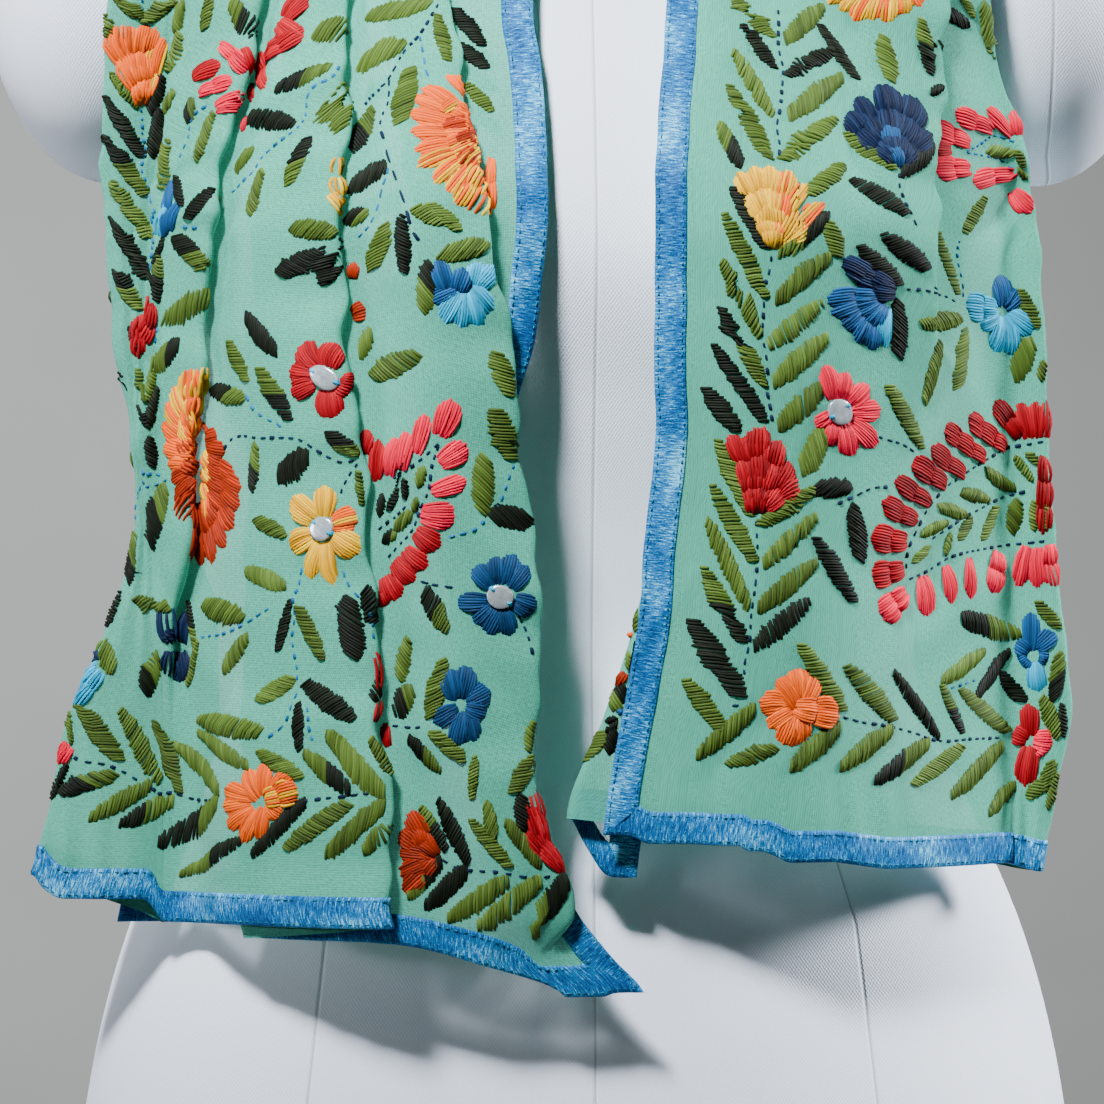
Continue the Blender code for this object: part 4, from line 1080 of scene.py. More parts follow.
@dataclass
class ClothChart:
    """Map from the flat cloth (s from the near selvage, t from a hem) to the draped surface."""
    points: Array
    normals: Array
    across: Array
    along: Array
    sweep: Array
    width: float = 400.0
    step: float = 2.0
    reach: float = 690.0
    hem_rows: int = 28           # rows by the hem whose distances across are evened out
    fade: int = 10               # rows over which that sets in
    beside: tuple[float, float] = (12.0, 20.0)  # how far from a selvage it starts, and how soon it is full
    overhang: float = 40.0       # degrees by which the lengths are carried on past the hem

    def __post_init__(self) -> None:
        """Even out both lengths, then tabulate row and column on a square net of the flat cloth.

        Across, what a row lacks of the full width is shared out between the selvages by a smooth
        step, so distances near either selvage stay true. Along, each point takes the middle length
        of the row whose middle sweep angle is its own, less that of the hem below it, so that folds
        which lean do not shear the flat cloth. In the rows by the hem, inside the ribbons, the
        distance across is averaged over its neighbours along the cloth.
        """
        wide = self.across[:, -1:]
        f = self.across / wide
        self.across = self.across + (self.width - wide) * f * f * (3 - 2 * f)
        even = even_rows(self.across, 30)
        low = np.clip((self.hem_rows - np.arange(len(even))[:, None]) / self.fade, 0, 1)
        clear, setting = self.beside
        inside = np.clip((np.minimum(self.across, self.width - self.across) - clear) / setting, 0, 1)
        self.across = self.across + (even - self.across) * low * inside
        way = np.sign(self.sweep[-1, 0] - self.sweep[0, 0])
        turn, length = way * np.median(self.sweep, 1), np.median(self.along, 1)
        rate = (length[3] - length[0]) / (turn[3] - turn[0])
        level = np.interp(way * self.sweep, np.append(turn[0] - self.overhang, turn),
                          np.append(-self.overhang * rate, length))
        self.along = level - level[:1]
        s = np.arange(0, self.across.max() + self.step, self.step)
        t = np.arange(0, self.reach, self.step)
        col = find_along(self.across, s[None, :])
        row_of = np.arange(len(self.points))[:, None] + 0 * col
        length = bilinear(self.along, row_of, col)
        self.row = find_along(length.T, t[None, :]).T
        self.col = bilinear(col, self.row, np.arange(len(s))[None, :] + 0 * self.row)

    def locate(self, s: Array, t: Array) -> tuple[Array, Array]:
        """Grid row and column of places on the flat cloth.

        Args:
            s: distance from the near selvage.
            t: distance from the hem.
        Returns:
            Fractional rows and columns.
        """
        i, j = t / self.step, s / self.step
        return bilinear(self.row, i, j), bilinear(self.col, i, j)

    def lift(self, s: Array, t: Array, height: Array | float = 0.0) -> Array:
        """Points on the draped cloth, moved out from its right side.

        Args:
            s: distance from the near selvage.
            t: distance from the hem.
            height: distance above the cloth.
        Returns:
            Points in space.
        """
        row, col = self.locate(s, t)
        out = unit(bilinear(self.normals, row, col)) * np.asarray(height)[..., None]
        return bilinear(self.points, row, col) + out


@dataclass
class Shawl:
    """One straight length of georgette, as folded and hung."""
    plan: FoldPlan
    finish: SheerGeorgette = SheerGeorgette()
    columns: int = 286
    rows: tuple[int, int, int] = (146, 68, 128)
    flat: tuple[float, float] = (0.40, 1.35)    # in metres
    probes: tuple[float, ...] = (-190, -150, -110, -60, 90, 230, 330)
    bend_share: float = 0.25     # share of the columns that goes to where the sections bend

    def section_positions(self) -> Array:
        """Column positions, spread by the length and the bending of a few sections."""
        out, level, _ = self.plan.controls(np.array(self.probes, float))
        u = np.linspace(0, out.shape[1] - 1, 6000)
        weights = self.plan.weights(u, out.shape[1])
        w, d = out @ weights.T, level @ weights.T
        length = np.hypot(np.diff(w), np.diff(d))
        angle = np.unwrap(np.arctan2(np.diff(d), np.diff(w)))
        bend = np.abs(np.diff(angle, prepend=angle[:, :1]))
        bend = np.where(length < 1e-4, 0, bend)
        density = (length / length.sum(1, keepdims=True)).max(0) * (1 - self.bend_share)
        density = density + self.bend_share * (bend / bend.sum(1, keepdims=True)).mean(0)
        total = np.concatenate([[0], np.cumsum(density)])
        return np.interp(np.linspace(0, total[-1], self.columns), total, u)

    def shape(self) -> None:
        """Work out the draped grid, its right-side directions and both lengths over it."""
        share = [np.linspace(0, 1, n) for n in self.rows]
        points, sweep = self.plan.grid(self.section_positions(), (share[0][:-1], share[1], share[2][1:]))
        a = np.gradient(points, axis=0)
        b = np.gradient(points, axis=1)
        normal = np.cross(b, a)
        size = np.linalg.norm(normal, axis=-1, keepdims=True)
        self.points, self.sweep = points, sweep
        self.normals = -normal / np.maximum(size, 1e-9)
        step = np.linalg.norm(np.diff(points, axis=1), axis=2)
        self.across = np.concatenate([np.zeros((len(points), 1)), np.cumsum(step, 1)], 1)
        step = np.linalg.norm(np.diff(points, axis=0), axis=2)
        self.along = np.concatenate([np.zeros((1, points.shape[1])), np.cumsum(step, 0)], 0)

    def charts(self) -> tuple[ClothChart, ClothChart]:
        """Charts measured from the left hem and from the right hem."""
        left = ClothChart(self.points, self.normals, self.across, self.along, self.sweep)
        right = ClothChart(self.points[::-1], self.normals[::-1], self.across[::-1],
                           (self.along[-1:] - self.along)[::-1], self.sweep[::-1])
        return left, right

    def build(self) -> bpy.types.Object:
        """Make the sheet; its texture lies on the flat cloth, in metres."""
        rows, cols = self.points.shape[:2]
        uv = np.stack([self.across, self.along], -1).reshape(-1, 2) * 0.001
        piece = make_piece("georgette_sheet", self.points.reshape(-1, 3), quads_of(rows, cols)[:, ::-1],
                           self.finish.material(), uv)
        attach(piece, "root")
        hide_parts("shawl_left_fall", "shawl_neck", "shawl_right_fall")
        return piece


# ---- the worked design ----------------------------------------------------------------------------
# Places on the flat cloth in mm: s from the near selvage, t from the left or the right hem.
# leaves: kind, then s and t of base and tip and the width of each; petals: thread, with + where they
# lie on others, then s and t of inner and outer end and the width of each; mirrors: s, t, radius;
# vines: thread (S teal, N navy), then s and t of each point.
# BEHIND: the same on the wrong side, where it shows beside the right hem.
LEAVES_LEFT = """
L 284 339 290 340 5.4, 302 323 297 332 2.9; D 324 275 324 297 5.0; N 332 257 334 278 5.4;
L 341 240 339 261 5.0; D 339 225 351 242 4.7; N 349 211 354 222 5.4; L 283 338 267 347 4.3,
266 344 275 334 4.3, 274 332 291 317 4.7, 314 300 314 308 3.2; D 311 298 293 316 4.7, 321 276 306 300 4.7;
L 306 299 297 306 3.6, 324 264 310 287 4.3; M 339 220 338 237 4.0; D 339 231 335 246 2.2;
M 300 291 293 295 5.8; L 304 271 289 286 4.7, 269 325 257 340 4.3; N 254 330 256 312 6.5;
D 320 256 315 269 4.0, 320 251 304 259 6.1; M 329 246 314 233 7.9; L 338 215 311 224 7.9,
302 248 302 256 2.5; N 343 196 331 206 7.2; D 352 205 349 196 2.9, 214 280 201 269 6.8;
L 233 265 222 266 5.0, 235 249 222 259 5.0; N 213 253 201 264 6.5; L 173 303 162 300 9.4;
M 197 284 176 285 5.8; L 189 264 173 280 8.6, 219 244 203 241 6.5; D 227 229 209 237 7.6,
211 225 199 241 7.6, 250 215 235 202 6.5; L 260 207 253 192 5.8; N 244 197 238 178 7.2;
L 105 319 83 328 6.1, 111 296 94 309 8.3, 100 283 93 302 7.9, 80 306 81 324 4.7; D 27 330 19 314 5.4,
27 316 19 306 5.0; L 26 302 18 293 4.0; D 80 286 72 279 3.6; M 121 266 109 283 7.2; D 123 258 107 270 7.9;
M 124 252 117 254 6.5; L 115 241 110 257 7.2; D 104 246 103 262 5.4; L 99 265 90 264 5.4, 94 267 85 264 4.7,
91 257 76 261 7.2; M 94 252 100 234 7.2; L 120 201 103 219 7.9, 125 208 119 217 5.8, 77 225 75 210 7.2,
350 190 346 183 2.5, 342 196 345 184 2.5; D 346 175 341 190 3.2, 351 177 346 175 2.5, 345 161 345 172 4.0;
M 343 128 340 155 7.2, 340 108 353 124 6.1; D 332 89 338 102 2.2; M 273 191 257 185 6.5,
259 154 253 170 5.0; D 245 159 231 165 9.4; M 223 174 215 165 6.1; L 258 144 245 137 5.0,
261 125 244 120 6.1, 286 114 264 108 7.9; D 247 97 244 115 4.0; L 241 113 230 94 5.4; D 220 95 222 116 9.4;
L 272 90 260 102 6.1, 331 108 315 111 4.3; M 294 115 289 97 2.9; D 217 119 213 107 5.4;
L 215 160 218 148 2.5, 318 82 329 83 5.8; M 304 74 308 92 6.5; L 291 85 287 101 3.2, 305 49 323 62 6.1,
289 49 308 68 5.8, 282 46 295 66 4.7, 260 47 286 63 6.1, 247 56 278 68 5.4, 241 68 280 73 7.2,
227 52 242 62 5.4; M 210 48 225 61 6.5; L 200 47 217 68 7.6, 197 54 203 67 4.0; N 306 45 325 32 6.1;
L 294 42 314 29 5.4; N 284 43 304 27 6.1, 261 43 290 25 7.2; M 247 30 281 17 5.0; D 225 44 243 25 5.4;
L 211 44 230 27 6.5, 200 43 216 26 6.5, 195 37 204 27 5.0; D 226 62 233 79 4.7, 234 86 210 73 6.8;
L 249 79 240 88 6.5; D 322 44 330 27 2.9; L 321 51 325 59 2.2; D 111 163 106 184 0.0, 63 37 76 57 5.0;
L 51 40 64 55 4.3, 55 51 60 63 4.0, 41 45 53 58 5.0; D 63 33 71 16 6.5; L 51 34 64 13 6.5, 41 38 55 13 7.2;
M 33 41 36 17 6.5; D 47 57 48 70 5.0; L 51 70 49 85 5.8, 51 86 52 97 2.9, 64 63 67 80 2.9;
M 89 76 76 69 4.3; L 84 88 88 111 7.2, 82 84 70 76 5.4, 99 95 100 112 5.0; M 97 83 93 94 7.9;
D 209 80 204 96 5.0; M 70 39 82 51 4.3, 71 34 77 18 5.8; L 82 167 81 188 7.9, 79 205 73 188 7.9;
D 78 165 66 169 9.4; M 99 133 88 122 6.5; D 107 164 107 172 2.5, 113 155 110 166 2.9, 117 152 115 159 2.9;
L 103 172 100 179 3.2, 104 162 102 166 2.9, 111 151 104 159 4.7; M 115 144 110 148 4.0
"""
LEAVES_RIGHT = """
L 40 288 23 301 5.0; D 39 275 27 290 4.3; L 40 257 24 279 5.0, 39 239 24 266 5.4; M 30 236 21 251 5.0;
D 38 208 27 228 5.8; L 43 192 24 219 5.0, 39 178 23 203 5.0; N 39 161 23 187 4.7; D 38 148 21 174 4.7,
29 144 19 159 5.8; L 36 115 23 141 5.4, 39 99 22 125 5.4, 38 84 21 113 5.0; M 37 71 22 97 5.8;
D 39 52 19 79 7.9; L 44 288 57 308 6.1; D 43 273 63 293 5.4, 70 282 56 301 4.0; L 45 257 65 281 6.5,
43 239 62 263 6.1, 56 231 65 244 5.8; N 43 209 64 224 6.5; L 64 211 65 223 6.1, 46 192 62 211 6.5,
41 175 62 195 6.1, 42 163 65 183 6.5, 43 148 61 166 7.2, 52 136 62 150 8.3, 40 112 58 131 5.8,
42 99 61 121 5.8, 41 84 63 105 5.8; D 41 70 60 92 6.5, 58 132 72 130 6.5, 80 107 75 126 7.2,
77 92 63 114 5.8, 92 230 69 239 6.1, 99 210 84 222 6.5; L 82 285 79 304 6.5; M 98 295 92 316 5.4;
L 83 246 67 258 6.1; D 86 247 99 261 7.2, 88 204 74 216 6.5, 91 179 91 199 7.2, 150 328 166 333 5.0;
L 166 342 170 337 2.9; D 98 307 108 310 3.6, 98 287 104 292 3.2; L 159 230 168 256 5.8, 141 203 144 228 5.4,
104 191 137 195 6.5, 123 169 136 191 7.9, 105 164 117 185 6.5, 87 169 104 148 6.1, 171 194 174 208 4.3,
157 176 168 189 7.9, 166 176 169 182 2.9, 169 283 181 288 4.7, 183 292 184 282 2.5, 182 281 185 276 2.2,
142 140 158 135 5.0, 128 133 145 130 4.3, 115 127 132 125 4.3, 108 118 121 122 3.6, 106 108 113 114 3.2,
122 111 124 118 2.9, 130 116 134 124 4.7, 145 116 150 128 5.0, 158 119 160 131 5.4, 166 121 165 132 2.9,
157 146 164 139 2.9, 162 149 165 145 2.9, 169 133 170 122 1.8; M 129 88 161 83 7.9; L 120 66 144 76 5.4;
D 140 60 158 76 5.0; L 174 87 168 96 4.3; M 174 61 174 78 5.0; L 35 40 20 58 5.8, 45 49 29 31 5.8,
53 37 39 28 5.0, 77 53 57 76 6.5, 77 47 60 32 6.8, 99 52 75 69 7.2; D 121 46 95 69 5.0; M 134 47 120 65 4.7;
L 160 47 131 63 5.8; D 163 58 155 69 5.4; L 99 49 78 33 6.5; N 116 44 94 30 6.5; L 134 43 112 29 5.8,
158 42 131 25 6.8, 166 28 152 18 5.0, 176 33 171 24 4.7, 180 35 177 22 2.9, 177 48 169 61 5.0;
D 178 48 176 60 2.9; L 176 39 176 28 4.3
"""
# Burnt orange petals are partly painted shade: they stand for orange petals in shadow, as in a fold.
PETALS_LEFT = """
ORANGE 312.2 300.8 297.9 326.8 7.2, 312.2 300.8 291.2 333.6 7.2, 312.2 300.8 284.2 337.1 7.2;
YORANGE 311.3 301.8 279.7 332.9 6.5; ORANGE 310.9 301.9 281.2 336.9 6.1;
ORANGE+ 312.2 300.8 296.3 322.2 9.4; RED 288.8 307.3 276.3 304.6 6.1; CORAL 271.4 314.8 269.3 295.7 5.4,
290.2 297.7 275.7 295.1 5.0, 288.3 287.2 274.4 285.4 6.8; RED 265.0 307.3 268.1 294.8 3.2,
196.9 306.3 200.8 286.9 5.4, 197.3 300.5 176.6 305.4 7.9, 185.0 312.9 179.1 300.5 7.9,
182.4 312.4 171.0 319.8 7.9; CORAL 218.0 275.6 215.2 281.3 2.5; RED 203.9 293.9 210.0 286.0 2.2;
YELLOW 193.4 257.1 193.7 253.0 3.6, 195.2 252.8 196.3 249.0 4.0, 200.1 249.7 196.3 244.5 4.0;
BLUE 335.2 244.9 317.7 267.9 5.0; SKY 336.2 244.7 325.2 260.0 4.3; BLUE 332.0 247.4 319.7 258.2 4.3;
RED 341.2 219.1 347.9 198.2 5.0, 348.1 210.1 348.9 193.6 4.3, 350.7 207.9 349.2 196.4 3.2;
ORANGE 74.1 288.2 89.9 296.4 6.1, 73.4 289.0 93.7 292.6 6.1, 73.8 287.8 96.0 287.1 6.1,
74.2 286.9 97.3 281.6 5.8, 75.9 285.3 97.0 277.2 5.4; YORANGE 73.9 285.6 97.2 273.7 5.4,
73.4 285.1 92.6 271.4 5.4, 72.4 284.7 88.8 270.4 5.0, 71.5 284.3 85.0 268.8 5.0, 68.9 283.3 80.7 268.6 5.0;
ORANGE 18.9 282.1 20.5 270.2 3.6, 78.8 302.4 71.3 295.7 5.8; YORANGE+ 85.7 289.5 79.1 294.2 4.3;
BURNT+ 74.2 289.7 87.7 284.8 5.8, 74.3 286.7 86.3 280.7 5.0, 73.0 284.8 81.7 276.7 4.3;
BLUE+ 89.9 242.2 92.4 254.1 6.5, 87.3 242.8 83.4 253.4 6.5; SKY 81.7 245.8 78.7 256.4 7.2,
81.1 245.9 73.6 256.2 6.5; BLUE 84.7 246.6 96.2 238.8 7.9; SKY 84.7 246.6 93.2 231.8 7.9,
84.0 247.5 87.5 231.1 7.2, 83.4 247.6 81.6 233.0 7.2, 82.7 247.8 77.2 238.9 6.5;
BURNT 123.9 233.1 122.6 239.7 4.3, 126.0 220.5 120.6 224.3 6.5; YORANGE 326.9 172.2 325.8 197.8 7.9,
326.9 172.2 319.7 197.9 5.0, 326.9 172.2 334.9 190.5 7.2, 326.7 170.6 338.3 184.6 6.5;
ORANGE 326.6 169.0 340.4 177.4 6.5, 324.5 166.9 340.3 169.8 6.1, 325.8 164.2 338.6 164.1 5.8;
BURNT 325.7 162.5 337.6 157.7 5.8, 326.0 159.3 335.9 150.7 5.8, 325.0 156.6 331.7 143.8 5.4;
YORANGE+ 326.2 179.4 321.8 195.1 4.7; BURNT+ 326.0 165.8 331.6 173.7 4.7, 324.4 160.2 330.6 165.2 4.3;
BURNT 280.3 175.8 279.0 177.2 5.8, 280.7 172.3 273.7 173.5 6.5, 280.5 169.5 269.1 167.6 6.5,
280.4 166.7 265.3 158.1 6.5, 280.7 163.0 264.0 153.9 6.5, 282.9 159.4 266.4 147.5 6.5,
284.4 155.9 268.6 140.5 6.5, 287.0 152.4 272.7 133.6 6.5, 288.5 150.9 279.6 128.2 6.5,
290.3 150.9 286.6 127.7 5.8, 327.7 150.9 318.6 129.1 5.0; YORANGE+ 281.6 168.1 275.9 161.4 4.7,
281.8 163.1 278.2 155.8 4.7, 283.9 158.0 282.8 148.7 4.7, 284.1 154.6 284.1 141.8 4.7;
RED 123.0 171.7 121.5 181.1 5.8, 119.2 162.1 116.6 180.1 6.5; CORAL 113.6 166.7 110.2 186.5 5.8,
108.5 173.9 106.4 190.4 6.5, 103.3 183.1 101.1 198.5 5.4, 96.3 191.4 92.3 205.5 8.6,
96.0 182.0 87.3 190.5 7.9, 98.7 170.6 86.8 177.9 6.1, 101.5 161.4 90.0 163.9 9.4;
RED 103.5 154.2 95.1 151.3 7.9, 107.1 145.4 98.4 142.7 6.5, 110.5 138.4 102.6 134.1 7.9,
112.7 130.8 106.9 123.0 8.6, 113.5 124.5 110.1 119.2 5.8; NAVY 305.2 98.9 314.5 111.7 6.5,
295.2 99.2 295.4 110.9 5.8, 303.5 101.5 312.3 104.1 5.8, 297.0 97.4 293.6 85.9 8.6,
305.9 97.4 299.9 88.0 4.3, 325.0 77.3 335.4 82.6 3.6; SKY 322.5 78.9 324.3 66.6 7.2,
321.3 73.6 324.5 60.8 5.0; CORAL 320.9 50.4 326.7 39.8 4.3, 323.1 49.5 324.9 43.4 2.9;
ORANGE 242.0 44.2 248.4 54.5 7.9, 240.4 44.9 240.0 57.6 7.2, 238.1 45.7 229.2 54.2 7.2;
YORANGE+ 240.4 44.2 227.9 47.9 8.6; ORANGE 244.4 44.8 257.1 47.4 7.2, 245.2 43.4 257.9 41.8 6.5,
244.4 42.1 255.0 35.0 7.2, 242.8 41.4 247.1 29.4 7.2, 240.4 42.2 240.1 30.2 6.5, 239.7 43.6 233.7 38.8 6.5;
RED 205.8 81.3 211.1 96.7 2.9, 202.1 71.8 204.5 80.0 3.2, 93.9 69.5 98.0 78.8 3.2;
BURNT 72.3 35.2 85.3 47.6 6.5, 72.3 35.2 86.0 40.9 7.9, 72.3 35.2 84.3 33.8 7.9, 72.5 34.7 82.4 25.2 7.9,
73.1 34.4 78.7 19.1 6.5; BURNT+ 76.6 36.3 82.1 43.5 5.0; RED 33.8 43.5 43.7 71.7 5.0,
33.8 43.5 44.9 66.5 5.0, 34.4 44.1 45.0 57.3 5.0, 33.8 43.5 39.2 60.2 4.7; BLUEN 78.5 97.0 84.7 108.7 7.2,
77.2 98.3 79.2 111.4 7.2, 75.8 98.0 69.7 104.5 8.6, 75.4 96.6 68.0 96.6 7.2, 77.0 95.2 83.1 86.8 6.5,
75.5 95.0 73.0 82.0 7.2, 74.4 95.4 68.8 85.2 6.5; RED 220.1 195.4 225.7 204.6 9.4,
217.0 196.1 212.9 204.4 10.1, 215.8 191.1 211.2 188.9 9.4, 219.9 189.0 221.7 178.5 10.8,
223.4 191.2 233.9 187.9 7.9, 222.5 193.4 231.8 195.0 7.2; YELLOW 233.5 142.9 242.8 150.0 9.4,
230.7 143.6 229.1 154.8 8.6; YORANGE 227.6 141.5 219.1 144.2 8.6; YELLOW 227.3 138.1 218.0 131.8 9.4,
229.5 136.0 226.7 120.6 6.1, 231.6 136.0 234.6 122.7 5.8, 233.9 138.1 242.9 134.0 8.6;
BLUEN 77.1 140.9 83.3 147.9 7.2, 75.9 141.9 77.0 152.7 5.8, 73.4 142.4 71.2 154.5 6.5,
72.0 141.2 66.5 151.1 5.8, 70.3 137.8 62.7 135.6 7.9, 73.7 134.9 75.7 124.2 6.5, 73.1 135.1 68.7 125.0 6.5,
77.1 135.7 87.6 133.1 6.5, 76.2 134.4 80.2 126.9 6.5
"""
PETALS_RIGHT = """
YELLOW 40.0 208.7 29.1 233.1 6.5, 40.0 208.7 33.8 235.2 5.8, 40.0 208.7 39.8 236.4 6.5;
YORANGE 39.9 209.3 45.8 235.8 6.5, 40.3 209.5 52.7 234.8 6.5, 40.5 209.0 59.2 228.7 6.5;
YELLOW 40.5 209.0 60.3 223.8 5.4; YELLOW+ 40.1 208.2 38.9 223.6 8.6; NAVYB 84.5 248.0 66.8 266.8 9.4,
84.4 248.8 69.6 274.8 6.5, 84.1 250.3 79.7 283.1 10.1, 84.9 248.9 92.0 281.9 10.1,
85.0 248.1 97.3 268.7 7.9; BLUE+ 85.0 247.3 80.1 266.6 6.1; NAVYB 87.1 202.3 65.2 209.2 7.2,
87.1 202.3 69.7 205.3 5.8; NAVYB+ 88.5 201.7 77.3 201.4 7.9; BLUE 83.2 199.4 63.5 195.8 6.1,
83.6 198.7 67.0 191.1 6.1, 84.7 198.1 71.3 186.3 6.1, 85.8 197.5 76.0 182.1 6.1, 87.0 197.0 80.8 180.0 6.1;
SKY 88.1 196.4 87.1 182.2 5.8; YELLOW 78.6 340.1 59.0 309.7 5.8, 78.6 340.1 64.2 308.0 5.8;
YORANGE 78.6 340.1 69.6 306.1 6.5, 78.6 340.1 75.0 308.9 6.5, 78.6 340.1 80.5 310.0 6.5,
78.6 340.1 85.8 315.3 5.8; ORANGE 78.6 340.1 91.5 320.9 5.8; ORANGE+ 78.6 332.7 69.9 316.3 7.2,
79.3 333.0 78.2 319.3 7.2; CORAL 159.0 278.9 139.5 275.9 7.2, 172.9 294.1 152.2 288.1 6.5,
181.2 299.3 167.4 302.1 5.4, 182.6 299.4 180.1 311.8 2.9; RED 149.1 270.2 139.5 266.5 5.0;
CORAL 159.4 266.4 140.2 257.1 7.9, 182.0 279.6 160.1 259.6 6.1, 180.8 268.1 186.5 253.2 7.2;
BLUE 163.2 200.1 168.4 211.5 9.4, 163.2 200.1 173.1 207.3 7.2; SKY 160.2 199.2 143.6 199.4 9.4,
159.8 197.1 147.6 192.7 5.8, 161.2 197.9 150.7 183.7 9.4, 163.3 198.1 157.6 183.1 7.2,
163.8 198.9 169.2 192.7 7.9; RED 166.6 154.3 168.9 168.5 4.3, 164.1 153.9 164.3 167.5 5.8,
161.4 153.3 159.5 166.7 5.0; CRIM 159.2 152.8 148.8 164.9 6.8; RED 154.6 148.1 131.3 158.8 7.2,
142.9 144.2 116.0 155.1 6.8; CRIM 131.0 138.5 108.4 148.0 6.8, 118.9 134.9 99.7 143.1 7.6,
111.3 128.5 91.3 136.5 6.5, 105.9 122.2 85.9 128.3 7.2; RED 102.2 115.3 84.6 116.0 9.0,
101.1 106.2 85.0 102.1 8.6; CORAL 101.6 98.5 88.7 88.5 9.7, 109.4 104.1 112.0 89.2 9.0,
122.0 107.9 124.5 93.9 6.1, 135.3 110.4 133.9 95.2 6.5, 153.9 112.5 147.7 97.3 9.0,
165.3 115.5 161.3 100.2 6.1, 168.4 115.8 167.8 100.4 5.0, 172.2 117.8 174.1 102.3 4.7;
CRIM 167.2 149.4 169.3 120.5 4.3; RED 37.9 115.8 27.7 142.9 5.8; CRIM 38.3 115.8 32.3 142.6 5.8,
38.3 115.8 36.1 145.7 8.6; RED 38.5 116.4 43.6 143.2 6.5, 39.1 117.3 48.5 136.3 6.5,
40.0 117.6 52.2 131.8 6.5; CRIM+ 37.9 115.1 35.5 131.6 7.9; ORANGE 60.3 54.0 52.2 61.6 7.9,
61.2 54.8 57.3 67.5 7.9, 62.0 54.8 64.0 66.0 7.2, 57.6 53.6 46.0 51.4 7.9, 58.8 52.0 50.2 43.2 7.9,
60.4 51.9 56.3 38.0 8.6, 62.0 52.1 62.4 42.2 7.2; ORANGE+ 58.3 54.0 76.0 51.9 10.1;
BLUE 164.9 76.6 165.0 91.5 5.8, 166.2 77.6 172.9 85.4 6.5, 164.9 76.6 160.1 79.5 6.5,
164.4 74.3 161.9 71.8 5.8; SKY 166.5 73.9 168.2 62.6 6.5; BLUE 167.7 75.6 171.1 75.5 5.0;
RED 167.8 45.7 165.4 57.8 6.5, 167.4 44.9 161.8 47.1 7.2; PINK 168.6 45.1 175.1 45.7 7.9;
RED 168.2 43.6 169.2 28.4 7.9; PINK 170.4 42.5 173.9 41.7 5.0; CORAL 65.5 160.5 60.9 173.0 7.2,
67.7 161.2 68.4 171.0 7.2, 70.7 159.3 78.5 167.5 7.2, 71.3 157.3 84.0 159.8 7.2, 70.1 154.4 82.2 147.1 7.2,
67.7 153.6 71.4 142.0 7.9, 64.0 154.3 62.7 145.3 5.8, 63.6 156.3 57.3 152.1 5.0
"""
LEAVES_BEHIND = """
L 359 76 355 66 3.2; D -1 68 2 56 3.6; L 357 58 358 53 2.9; M 358 47 362 39 5.8; D 359 36 362 34 2.2,
358 34 361 31 2.2, 358 32 358 24 4.3; L 363 31 364 20 5.4
"""
PETALS_BEHIND = """
BURNT 358.3 51.6 361.1 46.3 2.9; ORANGE 357.5 65.5 358.7 63.4 1.4; BLUE 357.7 39.0 358.3 36.9 1.4
"""
MIRRORS_LEFT = """
219.3 192.6 4.5; 230.5 139.8 4.1; 74.6 138.1 4.3
"""
MIRRORS_RIGHT = """
66.6 157.0 4.5
"""
VINES_LEFT = """
S 278 348 285 337; S 313 300 322 279 330 258 340 240 340 222; S 250 333 245 326;
S 173 285 180 280 183 280 188 278 192 273 198 269 204 267 213 265 220 263 226 260 234 258 243 257;
S 289 290 295 290 300 287 304 281 310 274; S 325 249 320 248 314 248; S 341 212 342 204;
N 80 329 88 315 94 308 100 297 107 289 114 278;
N 100 297 104 286 108 277 106 272 105 268 102 264 100 260 94 256; S 88 315 88 305 87 300 86 297;
S 106 271 110 265 112 259 116 253 122 247; S 255 188 252 182 248 179 243 177 239 173;
N 270 168 266 172 261 173 252 172 243 172 234 171 229 168 224 165 220 163 214 164;
N 214 163 220 157 224 152 224 148; S 351 154 344 159 339 158; S 339 158 346 154 355 144 358 132 353 125;
S 286 102 273 103 264 106 255 111 249 114; S 237 127 239 120 243 115 242 108 240 94 236 83;
S 235 83 235 78 233 72 240 65; S 229 78 223 70 220 64; S 223 126 221 118 218 113 215 107 212 97;
N 326 42 319 48 310 48 303 45 296 41 286 46 277 44 259 44; N 227 44 220 45 212 46 205 47 199 46;
N 96 190 98 181 99 171 101 164 104 154 109 145 113 137; N 96 190 101 183 107 175 114 165;
N 106 162 110 155 114 150 118 145; S 72 187 74 179 76 171 80 165 84 160 90 157 95 154;
N 101 136 95 137 90 138 86 137; N 68 133 64 128 59 118; N 96 78 90 80 83 86;
N 72 35 66 33 59 35 52 37 45 38 35 43
"""
VINES_RIGHT = """
N 41 300 42 287 42 273 42 263 42 247 42 237; N 40 207 40 200 43 188 39 174 40 163 41 147;
N 38 114 40 100 39 86 39 72 41 57; N 85 246 86 241 90 234 95 229 98 224;
N 91 203 100 203 106 202 136 201 141 199; S 156 226 151 217 147 208 142 200; N 106 203 99 206;
S 156 273 166 284 176 294 183 297; S 156 273 167 278 176 282 182 280 185 276; N 78 151 86 150 95 149 104 145;
N 67 125 73 128 80 132 90 134; N 167 154 157 150 142 144 127 138 116 133 109 126 105 118 102 109 102 102;
N 102 102 112 105 125 110 147 113 161 115 173 119; N 114 116 126 122 143 128 156 132 165 136; N 36 49 43 49;
N 77 51 86 50 96 50 108 48 119 45 139 45 160 45; S 140 66 124 63
"""


